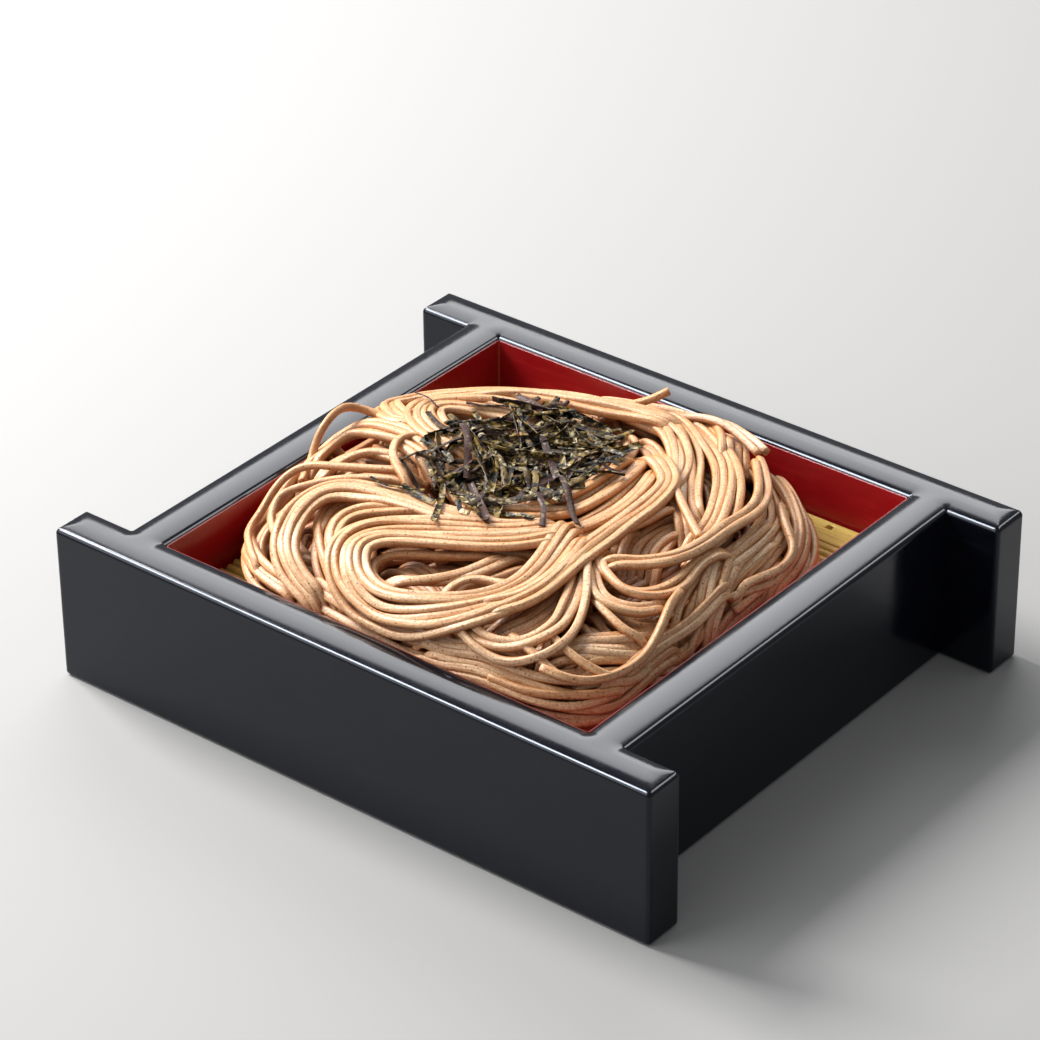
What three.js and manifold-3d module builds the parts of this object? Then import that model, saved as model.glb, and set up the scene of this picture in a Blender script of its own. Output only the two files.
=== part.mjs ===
// Zaru soba: cold buckwheat noodles on a bamboo mat in a black lacquer tray, with shredded nori on top.
// Millimetres, +Z up, origin under the middle of the tray. +X runs along the two long boards.
import * as THREE from 'three';
import { mergeVertices } from 'three/addons/utils/BufferGeometryUtils.js';
import Module from 'manifold-3d';

const wasm = await Module();
wasm.setup();

// ---------- driving dimensions ----------

const CLEARANCE = 0.3;          // left between pieces that rest on each other

const TRAY = {
  length: 228,                  // the two long boards, along X
  depth: 190,                   // over the outer faces of the long boards, along Y
  height: 54,
  longBoard: 14.5,              // thickness of a long board
  crossBoard: 14,               // thickness of a cross board
  wing: 19,                     // how far a long board runs on past the cross board
  floorTop: 31.6,
  floorThickness: 4,
  edgeRadius: 1.1,              // rounding along every edge
  cornerRadius: 1.5,            // rounding of a board's corners, seen from its face
};

const MAT = {
  length: 158,                  // along the sticks
  thickness: 2.9,
  stickPitch: 3.4,
  endSlat: 11,                  // width of the flat slat at the front and back edge
  stickSides: 3,                // facets over the round of a stick
};

const HEAP = {
  rise: 33,                     // of the top above the mat
  halfX: 80,
  halfY: 79,
  squareness: 3.5,              // exponent of the rounded square in plan: 2 would be an ellipse
  squarer: { right: 1, back: -1.85, backRight: -0.8 },  // how the exponent changes from side to side
  lean: { from: 0.12, spread: 0.38, out: 0.018 },       // where and how far it leans on the front board
  gentle: { right: 0.63, back: -0.78, start: 0.6, span: 1.3 },  // which way the heap ends gently
  steepDome: [2.2, 0.24],       // exponents of the dome's side where it ends steeply
  gentleDome: [1.5, 0.58],      // and where it ends gently
  coreDrop: 2.1,                // the core lies this far below the tops of the noodles
  coreInset: 0.955,             // core outline as a share of the heap's outline
  strandReach: 0.955,           // no strand lies further out than this share
};

const NOODLE = {
  width: 2.8,                   // cut square
  step: [5.8, 12],              // shortest and longest straight facet
  stepPerRadius: 0.62,          // facet length as a share of the tightest bend's radius
};

const NORI = {
  centre: [-9, 9],
  halfX: 22,
  halfY: 21,
  crown: 4.2,                   // top of the pile above the noodles' tops
  shredWidth: 2.3,
  shredThickness: 0.5,
  shreds: 21,
  shredLength: [15, 30],
};

// The noodles lie in locks. Each row holds the depth of a lock below the top of the heap, how far its
// middle arches above that, and the plan of its middle line.
const LOCKS = [
  { name: 'left hairpin', depth: 0.6, plan: [[-42, -5], [-54, -6], [-66, -8], [-74, -15], [-75, -25],
    [-70, -34], [-61, -36.5], [-51, -32], [-42, -28], [-30, -29]] },
  { name: 'left sweep', depth: 0.8, plan: [[-74, 20], [-72, 11], [-65, 4], [-54, 0], [-43, -3], [-32, -10]] },
  { name: 'left shoulder', depth: 0.2, plan: [[-68, 18], [-59, 12], [-50, 6], [-40, 1]] },
  { name: 'left bulge', depth: 1.6, plan: [[-75, -6], [-76, -22], [-75, -38], [-69, -53], [-60, -64],
    [-47, -71], [-30, -74]] },
  { name: 'left roll', depth: 0.8, plan: [[-4, -35], [-22, -34], [-38, -34.5], [-50, -38], [-58, -44],
    [-60.5, -51], [-58, -59], [-51, -67], [-40, -72]] },
  { name: 'left roll inner', depth: 0.6, plan: [[2, -36], [-18, -37], [-34, -38.5], [-45, -43], [-49, -50],
    [-48, -58], [-43, -66], [-32, -72], [-18, -74]] },
  { name: 'second roll', depth: 0.4, plan: [[6, -37], [-10, -40.5], [-23, -43.5], [-31, -48], [-33.5, -55],
    [-30, -62], [-22, -69], [-8, -73]] },
  { name: 'front roll outer', depth: 0, plan: [[27, -20], [16, -32], [2, -41], [-10, -48], [-24, -52],
    [-26, -61], [-19, -71], [-4, -76.5], [12, -76], [27, -70], [37, -58], [38, -46], [36, -33], [32, -20]] },
  { name: 'front roll', depth: 0, plan: [[22, -15], [12, -27], [0, -36], [-10, -42], [-18, -50], [-19, -59],
    [-14, -66], [-3, -69], [11, -68.5], [23, -63], [30, -55], [31, -44], [29, -32], [26, -22]] },
  { name: 'roll inner', depth: 1.2, plan: [[0, -44], [-9, -50], [-14, -57], [-12, -63], [-2, -66], [12, -63]] },
  { name: 'under the roll', depth: 3.2, plan: [[-14, -53], [-4, -53], [6, -56], [16, -61]] },
  { name: 'between the rolls', depth: 3.2, plan: [[-43, -47], [-38, -55], [-31, -63], [-22, -69]] },
  { name: 'short by the nori', depth: -0.2, plan: [[13, 27], [13.5, 16], [14, 5]] },
  { name: 'first arc', depth: 0.4, plan: [[15, 36], [18, 20], [19, 6], [17, -6], [9, -14], [0, -20], [-12, -26]] },
  { name: 'second arc', depth: 0.8, plan: [[20, 34], [24, 16], [25, 2], [22, -12], [13, -22], [1, -29], [-12, -34]] },
  { name: 'third arc', depth: 1.4, plan: [[26, 36], [29, 18], [30, 2], [28, -12], [20, -23], [8, -32]] },
  { name: 'front stub', depth: 1, plan: [[16, -34], [14.5, -42], [12, -52], [5, -60], [-6, -65]] },
  { name: 'front hook', depth: 0.6, plan: [[31, -45], [25, -49], [18, -52], [15.5, -58], [16, -66]] },
  { name: 'middle right', depth: -0.2, plan: [[14, 38], [25, 30], [32, 23], [34.5, 10], [35, -4], [36, -18],
    [37.5, -32], [38.5, -46], [36, -58], [28, -66]] },
  { name: 'middle right long', depth: 0.2, plan: [[40, 20], [39, 8], [38.5, -6], [39, -18], [44, -30],
    [51, -42], [57, -53], [58, -63], [51, -70], [40, -73], [28, -70]] },
  { name: 'middle low', depth: 0.4, plan: [[39, -24], [43, -34], [50, -45], [54.5, -54], [53, -63], [44, -69]] },
  { name: 'long single', depth: -0.4, plan: [[65, -12], [67, -22], [71, -33], [73.5, -45], [72, -57],
    [66, -67], [54, -73], [40, -75]] },
  { name: 'u loop', depth: -0.3, plan: [[36, 62], [46, 51], [54, 41], [58, 31], [58.5, 18], [59, 4], [57, -9],
    [51, -18], [44, -24]] },
  { name: 'u loop low', depth: 0.4, plan: [[39, -17], [42, -25], [49, -29], [57, -30], [62, -24], [63, -13],
    [61, -2], [63, 10]] },
  { name: 'u loop outer', depth: 1, plan: [[44, -30], [49, -37], [57, -41], [64, -38], [67, -29], [66, -18]] },
  { name: 'right', depth: 1.4, plan: [[63, 34], [64.5, 18], [65, 2], [68, -12], [73, -26]] },
  { name: 'right edge', depth: 1.6, plan: [[70, 32], [71, 14], [72, -4], [74, -20], [74, -36], [70, -50], [62, -62]] },
  { name: 'right hollow', depth: 2.6, plan: [[43, 12], [44, -4], [48, -14], [54, -22]] },
  { name: 'lower right', depth: 3, plan: [[50, -68], [60, -60], [67, -51], [72, -40]] },
  { name: 'bright stub', depth: -0.2, plan: [[35, 21], [44, 15], [55, 7]] },
  { name: 'back sweep', depth: 0.8, plan: [[-20, 64], [-6, 62], [7, 58], [17, 50], [25, 42], [33, 31], [40, 21],
    [47, 14]] },
  { name: 'back sweep outer', depth: 0.6, plan: [[-4, 70], [10, 66], [22, 58], [33, 50], [42, 40], [49, 28],
    [54, 16]] },
  { name: 'right sweep', depth: 1.4, plan: [[26, 68], [40, 60], [51, 50], [60, 39], [66, 26], [68, 10]] },
  { name: 'right shoulder', depth: 1, plan: [[42, 66], [54, 54], [64, 44], [71, 32], [74, 20], [75, 2]] },
  { name: 'by the nori', depth: 1.2, plan: [[2, 46], [12, 42], [20, 32], [25, 20]] },
  { name: 'above the nori', depth: 0.8, plan: [[-14, 56], [-2, 55], [10, 52], [20, 44], [27, 35], [31, 24]] },
  { name: 'back hairpin', depth: 0, plan: [[8, 55], [-10, 51], [-28, 49], [-44, 45], [-58, 40], [-67, 33],
    [-68, 25], [-60, 21], [-50, 24], [-40, 29]] },
  { name: 'back hairpin inner', depth: 1.2, plan: [[-12, 46], [-28, 44], [-42, 39], [-54, 34], [-57, 29],
    [-50, 28], [-40, 33]] },
  { name: 'back outer', depth: 0.8, plan: [[0, 60], [-18, 60], [-34, 57], [-50, 51], [-63, 43], [-70, 33],
    [-73, 22], [-70, 12]] },
  { name: 'back loop', depth: 0.4, plan: [[-14, 52], [-20, 58], [-28, 63.5], [-40, 60], [-52, 53]] },
  { name: 'back crest', depth: 0.2, plan: [[-34, 64], [-18, 70], [0, 73], [14, 72], [24, 66], [32, 56]] },
  { name: 'left loose loop', depth: 0.8, arch: 4.5, plan: [[-58, 32], [-68, 27], [-75, 18], [-76, 6],
    [-74, -4], [-66, -10]] },
  { name: 'front wall', depth: 3, plan: [[-24, -75], [0, -76], [24, -75], [44, -73], [58, -69]] },
];

// Strands that lie round the flank of the heap, under its edge: [height, first angle, last angle].
const FLANK = [
  [49, -20, 50], [43, -70, 70], [50, 95, 170], [43, 75, 180], [50, 190, 245], [44, 185, 262],
];

// ---------- helpers ----------

const unit = (t) => Math.min(Math.max(t, 0), 1);
const smooth = (t) => unit(t) * unit(t) * (3 - 2 * unit(t));
const radians = THREE.MathUtils.degToRad;

// Seeded random numbers from 0 to 1.
function randomSource(seed) {
  let state = seed;
  return () => {
    state = (state + 0x6d2b79f5) | 0;
    let t = Math.imul(state ^ (state >>> 15), 1 | state);
    t = (t + Math.imul(t ^ (t >>> 7), 61 | t)) ^ t;
    return ((t ^ (t >>> 14)) >>> 0) / 4294967296;
  };
}

function solidOf(geometry) {
  const bare = geometry.clone();
  bare.deleteAttribute('normal');
  bare.deleteAttribute('uv');
  const merged = mergeVertices(bare, 1e-4);
  return new wasm.Manifold(new wasm.Mesh({
    numProp: 3,
    vertProperties: new Float32Array(merged.attributes.position.array),
    triVerts: new Uint32Array(merged.index.array),
  }));
}

function geometryOf(solid) {
  const mesh = solid.getMesh();
  const geometry = new THREE.BufferGeometry();
  geometry.setAttribute('position', new THREE.BufferAttribute(new Float32Array(mesh.vertProperties), 3));
  geometry.setIndex(new THREE.BufferAttribute(new Uint32Array(mesh.triVerts), 1));
  return geometry;
}

const joined = (geometries) => geometryOf(wasm.Manifold.union(geometries.map(solidOf)));

function named(name, geometry, color, roughness, metalness = 0) {
  geometry.computeVertexNormals();
  const mesh = new THREE.Mesh(geometry, new THREE.MeshStandardMaterial({ color, roughness, metalness }));
  mesh.name = name;
  return mesh;
}

// ---------- the tray ----------

function roundedRectangle(width, height, radius) {
  const shape = new THREE.Shape();
  const x = width / 2;
  const y = height / 2;
  shape.moveTo(-x + radius, -y);
  shape.lineTo(x - radius, -y);
  shape.absarc(x - radius, -y + radius, radius, -Math.PI / 2, 0);
  shape.lineTo(x, y - radius);
  shape.absarc(x - radius, y - radius, radius, 0, Math.PI / 2);
  shape.lineTo(-x + radius, y);
  shape.absarc(-x + radius, y - radius, radius, Math.PI / 2, Math.PI);
  shape.lineTo(-x, -y + radius);
  shape.absarc(-x + radius, -y + radius, radius, Math.PI, Math.PI * 1.5);
  return shape;
}

// A board on edge along X, standing on the ground, with every edge rounded.
function board(length, thickness) {
  const { height, edgeRadius, cornerRadius } = TRAY;
  const face = roundedRectangle(length, height, cornerRadius);
  const geometry = new THREE.ExtrudeGeometry(face, {
    depth: thickness - 2 * edgeRadius,
    bevelThickness: edgeRadius,
    bevelSize: edgeRadius,
    bevelOffset: -edgeRadius,
    bevelSegments: 2,
    curveSegments: 3,
  });
  geometry.translate(0, 0, edgeRadius - thickness / 2);
  geometry.rotateX(Math.PI / 2);
  geometry.translate(0, 0, height / 2);
  return geometry;
}

function trayGeometry() {
  const { length, depth, longBoard, crossBoard, wing, floorTop, floorThickness } = TRAY;
  const longY = (depth - longBoard) / 2;
  const crossX = length / 2 - wing - crossBoard / 2;
  const crossLength = depth - longBoard;
  const pieces = [];
  for (const side of [-1, 1]) {
    pieces.push(board(length, longBoard).translate(0, side * longY, 0));
    pieces.push(board(crossLength, crossBoard).rotateZ(Math.PI / 2).translate(side * crossX, 0, 0));
  }
  const floor = new THREE.BoxGeometry(2 * crossX, 2 * longY, floorThickness);
  pieces.push(floor.translate(0, 0, floorTop - floorThickness / 2));
  return joined(pieces);
}

// ---------- the bamboo mat ----------

const matBottom = TRAY.floorTop + CLEARANCE;
const matTop = matBottom + MAT.thickness;

// The mat's outline across its sticks: two flat end slats and the round tops of the sticks between them.
function matGeometry() {
  const { length, thickness, stickPitch, endSlat, stickSides } = MAT;
  const cell = TRAY.depth - 2 * TRAY.longBoard;
  const half = cell / 2 - 1.5;
  const count = Math.round((2 * half - 2 * endSlat) / stickPitch);
  const pitch = (2 * half - 2 * endSlat) / count;
  const valley = thickness * 0.55;
  const outline = new THREE.Shape();
  outline.moveTo(-half, 0);
  outline.lineTo(half, 0);
  outline.lineTo(half, thickness * 0.85);
  outline.lineTo(half - endSlat, thickness * 0.85);
  for (let stick = 0; stick < count; stick += 1) {
    const start = half - endSlat - stick * pitch;
    for (let side = 0; side <= stickSides; side += 1) {
      const turn = (Math.PI * (side + 0.5)) / (stickSides + 1);
      const rise = valley + (thickness - valley) * Math.sin(turn);
      outline.lineTo(start - pitch * (0.5 - 0.5 * Math.cos(turn)), rise);
    }
  }
  outline.lineTo(-half + endSlat, thickness * 0.85);
  outline.lineTo(-half, thickness * 0.85);
  const geometry = new THREE.ExtrudeGeometry(outline, { depth: length, bevelEnabled: false });
  geometry.translate(0, 0, -length / 2);
  geometry.rotateX(Math.PI / 2);
  geometry.rotateZ(Math.PI / 2);
  geometry.translate(0, 0, matBottom);
  return geometry;
}

// ---------- the shape of the heap ----------

// Plan outline of the heap: a rounded square whose corners differ. exponent is how square it is that way,
// and gentle is how gently the heap ends. In the middle of the front it leans against the board.
function outlineAt(angle) {
  const { squareness, squarer, lean, gentle, halfX, halfY } = HEAP;
  const c = Math.cos(angle);
  const s = Math.sin(angle);
  const exponent = squareness + squarer.right * c + squarer.back * s + squarer.backRight * c * s;
  const sum = Math.abs(c / halfX) ** exponent + Math.abs(s / halfY) ** exponent;
  const leaning = Math.exp(-(((c - lean.from) / lean.spread) ** 2)) * smooth(-s);
  const gentleness = smooth((gentle.right * c + gentle.back * s + gentle.start) / gentle.span);
  const radius = sum ** (-1 / exponent) * (1 + lean.out * leaning);
  return { exponent, radius, gentleness: gentleness * (1 - 0.5 * leaning) };
}

// Height of the noodles' tops: a flat dome that ends steeply at the back and left, gently at the right.
function heapTop(x, y) {
  const { exponent, radius, gentleness } = outlineAt(Math.atan2(y, x));
  const [inner, outer] = [0, 1].map((i) => (
    THREE.MathUtils.lerp(HEAP.steepDome[i], HEAP.gentleDome[i], gentleness)));
  const share = unit(Math.hypot(x, y) / radius) ** exponent;
  return matTop + HEAP.rise * (1 - share ** inner) ** outer;
}

// Pulls a plan point in to the given share of the heap's outline.
function pulledIn([x, y], reach) {
  const distance = Math.hypot(x, y);
  const limit = outlineAt(Math.atan2(y, x)).radius * reach;
  return distance > limit ? [x * limit / distance, y * limit / distance] : [x, y];
}

function coreGeometry() {
  const sectors = 32;
  const rings = [0.34, 0.6, 0.78, 0.89, 0.955, 1];
  const bottom = matTop + CLEARANCE;
  const positions = [0, 0, heapTop(0, 0) - HEAP.coreDrop, 0, 0, bottom];
  const index = [];
  for (const ring of [...rings, 'foot']) {
    for (let sector = 0; sector < sectors; sector += 1) {
      const angle = (2 * Math.PI * sector) / sectors;
      const share = ring === 'foot' ? 1 : ring;
      const distance = outlineAt(angle).radius * HEAP.coreInset * share;
      const x = distance * Math.cos(angle);
      const y = distance * Math.sin(angle);
      const z = ring === 'foot' ? bottom : heapTop(x, y) - HEAP.coreDrop;
      positions.push(x, y, z);
    }
  }
  const at = (ring, sector) => 2 + ring * sectors + (sector % sectors);
  for (let sector = 0; sector < sectors; sector += 1) {
    index.push(0, at(0, sector), at(0, sector + 1));
    index.push(1, at(rings.length, sector + 1), at(rings.length, sector));
    for (let ring = 0; ring < rings.length; ring += 1) {
      const [a, b] = [at(ring, sector), at(ring, sector + 1)];
      const [c, d] = [at(ring + 1, sector), at(ring + 1, sector + 1)];
      index.push(a, c, d, a, d, b);
    }
  }
  const geometry = new THREE.BufferGeometry();
  geometry.setAttribute('position', new THREE.Float32BufferAttribute(positions, 3));
  geometry.setIndex(index);
  return geometry;
}

// ---------- the noodles ----------

function noodleSection() {
  const half = NOODLE.width / 2;
  const section = new THREE.Shape();
  section.moveTo(-half, -half);
  section.lineTo(half, -half);
  section.lineTo(half, half);
  section.lineTo(-half, half);
  return section;
}

// Radius of the tightest bend of a curve, measured over short arcs.
function tightestRadius(curve, length) {
  const arc = 5;
  const count = Math.max(2, Math.round(length / arc));
  let sharpest = 1e-3;
  for (let i = 0; i < count; i += 1) {
    const turn = curve.getTangentAt(i / count).angleTo(curve.getTangentAt((i + 1) / count));
    sharpest = Math.max(sharpest, turn);
  }
  return length / count / sharpest;
}

// One cut-square noodle along a row of points, in shorter facets where it bends tightly.
function strand(points) {
  const curve = new THREE.CatmullRomCurve3(points, false, 'centripetal');
  const length = curve.getLength();
  const facet = THREE.MathUtils.clamp(NOODLE.stepPerRadius * tightestRadius(curve, length), ...NOODLE.step);
  const steps = Math.max(3, Math.round(length / facet));
  return new THREE.ExtrudeGeometry(noodleSection(), { steps, bevelEnabled: false, extrudePath: curve });
}

const underNori = ([x, y], margin) => {
  const u = (x - NORI.centre[0]) / (NORI.halfX + margin);
  const v = (y - NORI.centre[1]) / (NORI.halfY + margin);
  return u * u + v * v < 1;
};

// Splits a lock's line where the nori lies, and keeps the stretches that are long enough to show.
function clearStretches(points) {
  const margin = NOODLE.width * 0.75 + CLEARANCE;
  const stretches = [[]];
  for (const point of points) {
    if (underNori([point.x, point.y], margin)) stretches.push([]);
    else stretches.at(-1).push(point);
  }
  return stretches.filter((stretch) => stretch.length >= 4);
}

function lockStrands({ depth, arch = 0, plan }) {
  const line = new THREE.SplineCurve(plan.map(([x, y]) => new THREE.Vector2(x, y)));
  const count = Math.round(line.getLength() / 3);
  const points = line.getSpacedPoints(count).map((flat, i) => {
    const [x, y] = pulledIn([flat.x, flat.y], HEAP.strandReach);
    const lift = arch * Math.sin((Math.PI * i) / count);
    return new THREE.Vector3(x, y, heapTop(x, y) - NOODLE.width / 2 - 0.45 * depth + lift);
  });
  return clearStretches(points).map((stretch) => strand(stretch.filter((_, i) => i % 2 === 0)));
}

function flankStrand([height, from, to]) {
  const points = [];
  const count = Math.ceil((to - from) / 12);
  for (let i = 0; i <= count; i += 1) {
    const angle = radians(from + ((to - from) * i) / count);
    const distance = outlineAt(angle).radius * HEAP.coreInset;
    const sway = Math.sin(i * 0.9 + from) * 0.8;
    points.push(new THREE.Vector3(distance * Math.cos(angle), distance * Math.sin(angle), height + sway));
  }
  return strand(points);
}

function noodleGeometry() {
  return joined([coreGeometry(), ...LOCKS.flatMap(lockStrands), ...FLANK.map(flankStrand)]);
}

// ---------- the shredded nori ----------

function noriMound() {
  const sectors = 14;
  const rings = [0.45, 0.8, 1];
  const [cx, cy] = NORI.centre;
  const positions = [];
  const index = [];
  const place = (share, angle, top) => {
    const x = cx + NORI.halfX * share * Math.cos(angle);
    const y = cy + NORI.halfY * share * Math.sin(angle);
    const base = heapTop(x, y) - HEAP.coreDrop;
    const crown = HEAP.coreDrop + 0.8 + (NORI.crown - 0.8) * (1 - share * share);
    positions.push(x, y, top ? base + crown : base + 2 * CLEARANCE);
  };
  for (const top of [true, false]) {
    place(0, 0, top);
    for (const ring of rings) {
      for (let sector = 0; sector < sectors; sector += 1) place(ring, (2 * Math.PI * sector) / sectors, top);
    }
  }
  const layer = 1 + rings.length * sectors;
  const at = (low, ring, sector) => low * layer + 1 + ring * sectors + (sector % sectors);
  for (let sector = 0; sector < sectors; sector += 1) {
    for (const low of [0, 1]) {
      const facet = (a, b, c) => index.push(...(low ? [a, c, b] : [a, b, c]));
      facet(low * layer, at(low, 0, sector), at(low, 0, sector + 1));
      for (let ring = 0; ring + 1 < rings.length; ring += 1) {
        facet(at(low, ring, sector), at(low, ring + 1, sector), at(low, ring + 1, sector + 1));
        facet(at(low, ring, sector), at(low, ring + 1, sector + 1), at(low, ring, sector + 1));
      }
    }
    const rim = rings.length - 1;
    index.push(at(0, rim, sector), at(1, rim, sector), at(1, rim, sector + 1));
    index.push(at(0, rim, sector), at(1, rim, sector + 1), at(0, rim, sector + 1));
  }
  const geometry = new THREE.BufferGeometry();
  geometry.setAttribute('position', new THREE.Float32BufferAttribute(positions, 3));
  geometry.setIndex(index);
  return geometry;
}

// Height of the nori pile's top over a plan point, and of the noodles it lies on beyond the pile.
function noriTop(x, y) {
  const u = (x - NORI.centre[0]) / NORI.halfX;
  const v = (y - NORI.centre[1]) / NORI.halfY;
  return heapTop(x, y) + 1.1 + Math.max(0, (NORI.crown - 0.8) * (1 - u * u - v * v));
}

// One thin bent strip, tilted about its own length.
function shred(points, tilt) {
  const section = new THREE.Shape();
  const [a, b] = [NORI.shredThickness / 2, NORI.shredWidth / 2];
  const corners = [[-a, -b], [a, -b], [a, b], [-a, b]].map(([x, y]) => [
    x * Math.cos(tilt) - y * Math.sin(tilt), x * Math.sin(tilt) + y * Math.cos(tilt)]);
  section.moveTo(...corners[0]);
  for (const corner of corners.slice(1)) section.lineTo(...corner);
  return new THREE.ExtrudeGeometry(section, {
    steps: 3, bevelEnabled: false, extrudePath: new THREE.CatmullRomCurve3(points),
  });
}

function noriGeometry() {
  const random = randomSource(41);
  const [shortest, longest] = NORI.shredLength;
  const shreds = [];
  for (let i = 0; i < NORI.shreds; i += 1) {
    // The golden angle spreads the shreds evenly; the outermost ones reach out over the noodles.
    const share = Math.sqrt((i + 0.5) / NORI.shreds);
    const bearing = radians(137.5 * i);
    const middle = [
      NORI.centre[0] + NORI.halfX * 0.86 * share * Math.cos(bearing),
      NORI.centre[1] + NORI.halfY * 0.86 * share * Math.sin(bearing),
    ];
    const heading = bearing + (random() - 0.5) * (share > 0.6 ? 2.6 : 6.2);
    const half = (shortest + random() * (longest - shortest)) / 2;
    const bend = (random() - 0.5) * 5;
    const lift = (1 - share) * 2.2 * random();
    const tilt = (random() - 0.5) * 0.7 * (1 - share);
    const points = [-1, -0.4, 0.4, 1].map((t) => {
      const side = bend * (1 - t * t);
      const x = middle[0] + t * half * Math.cos(heading) - side * Math.sin(heading);
      const y = middle[1] + t * half * Math.sin(heading) + side * Math.cos(heading);
      return new THREE.Vector3(x, y, noriTop(x, y) + lift);
    });
    shreds.push(shred(points, tilt));
  }
  return joined([noriMound(), ...shreds]);
}

// ---------- the whole dish ----------

const soba = new THREE.Group();
soba.add(named('tray', trayGeometry(), 0x16171a, 0.22));
soba.add(named('bamboo_mat', matGeometry(), 0xc9ab5e, 0.55));
soba.add(named('noodles', noodleGeometry(), 0xd9b48a, 0.45));
soba.add(named('nori', noriGeometry(), 0x23261b, 0.4));

export default soba;
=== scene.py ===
"""Zaru soba: cold buckwheat noodles on a bamboo mat in a black lacquer tray, topped with shredded nori.

Sizes in the classes are millimetres. Meshes are made in metres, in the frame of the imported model:
+X along the long boards, +Z up, origin on the ground under the middle of the tray.
A pair or longer tuple of numbers is a range where nothing else is said.
"""

from __future__ import annotations

import logging
import math
from collections.abc import Callable
from dataclasses import dataclass, field, replace
from enum import Enum

import bpy
import numpy as np
from mathutils import Matrix, Vector


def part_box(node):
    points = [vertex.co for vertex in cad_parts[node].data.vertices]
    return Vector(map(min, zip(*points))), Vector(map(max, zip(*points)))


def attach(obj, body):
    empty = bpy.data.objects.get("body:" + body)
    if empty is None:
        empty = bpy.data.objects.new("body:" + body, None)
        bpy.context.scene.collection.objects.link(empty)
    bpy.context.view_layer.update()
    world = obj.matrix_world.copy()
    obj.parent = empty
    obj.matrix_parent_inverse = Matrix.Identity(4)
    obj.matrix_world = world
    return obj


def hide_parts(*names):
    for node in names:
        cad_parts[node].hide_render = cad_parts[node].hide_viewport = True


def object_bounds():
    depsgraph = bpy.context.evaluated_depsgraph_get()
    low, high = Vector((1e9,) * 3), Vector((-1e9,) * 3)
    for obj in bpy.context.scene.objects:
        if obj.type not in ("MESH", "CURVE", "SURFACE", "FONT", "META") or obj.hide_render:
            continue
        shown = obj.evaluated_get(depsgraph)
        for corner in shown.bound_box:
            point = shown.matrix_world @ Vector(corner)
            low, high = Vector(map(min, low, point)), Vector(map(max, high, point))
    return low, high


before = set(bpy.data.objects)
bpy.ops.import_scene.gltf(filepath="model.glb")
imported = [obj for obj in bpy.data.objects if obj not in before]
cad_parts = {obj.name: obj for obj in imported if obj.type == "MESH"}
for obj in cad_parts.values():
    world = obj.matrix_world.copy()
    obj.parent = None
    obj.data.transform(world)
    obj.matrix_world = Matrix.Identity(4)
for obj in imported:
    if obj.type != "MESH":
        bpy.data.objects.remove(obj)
CAD_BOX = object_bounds()

LOG = logging.getLogger("zaru_soba")
MM = 0.001
BODY = "root"
FINE = 0.8  # spacing of the samples that a strand is laid down with
TAU = 2 * math.pi
TINY = 1e-9
UP = np.array([0.0, 0.0, 1.0])

Array, Rng = np.ndarray, np.random.Generator
Tree, Node, Socket = bpy.types.NodeTree, bpy.types.Node, bpy.types.NodeSocket
Material, Piece = bpy.types.Material, bpy.types.Object
Pair = tuple[float, float]
Line = tuple[Pair, ...]
Triple = tuple[float, float, float]
Span = tuple[float, float, float, float]  # a range, and the range that it is carried to


class Slot(Enum):
    """The record's material slots."""

    LACQUER = "black_lacquer"
    BAMBOO = "bamboo"
    NOODLE = "noodle"
    NORI = "nori"


# ---------- numbers and lines ----------


def smooth(t: Array) -> Array:
    """Smooth step from 0 to 1."""
    t = np.clip(t, 0, 1)
    return t * t * (3 - 2 * t)


def soften(values: Array, sigma: float) -> Array:
    """Gaussian blur along the first axis, with the end values carried on.

    Args:
        values: Samples, one row each.
        sigma: Width of the blur in samples.

    Returns:
        The blurred samples.
    """
    half = max(1, int(3 * sigma))
    kernel = np.exp(-0.5 * (np.arange(-half, half + 1) / sigma) ** 2)
    kernel /= kernel.sum()
    flat = values.reshape(len(values), -1)
    padded = np.pad(flat, ((half, half), (0, 0)), mode="edge")
    blurred = [np.convolve(column, kernel, mode="valid") for column in padded.T]
    return np.stack(blurred, axis=1).reshape(values.shape)


def rolling_max(values: Array, half: int) -> Array:
    """Largest value within half samples to either side."""
    padded = np.pad(values, half, mode="edge")
    return np.lib.stride_tricks.sliding_window_view(padded, 2 * half + 1).max(axis=1)


def distances(line: Array) -> Array:
    """Distance of each point of a line from its start."""
    return np.concatenate([[0], np.cumsum(np.linalg.norm(np.diff(line, axis=0), axis=1))])


def resampled(line: Array, step: float) -> Array:
    """The same line, with evenly spaced points about step apart."""
    along = distances(line)
    count = max(4, int(round(along[-1] / step)) + 1)
    places = np.linspace(0, along[-1], count)
    return np.stack([np.interp(places, along, column) for column in line.T], axis=1)


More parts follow.
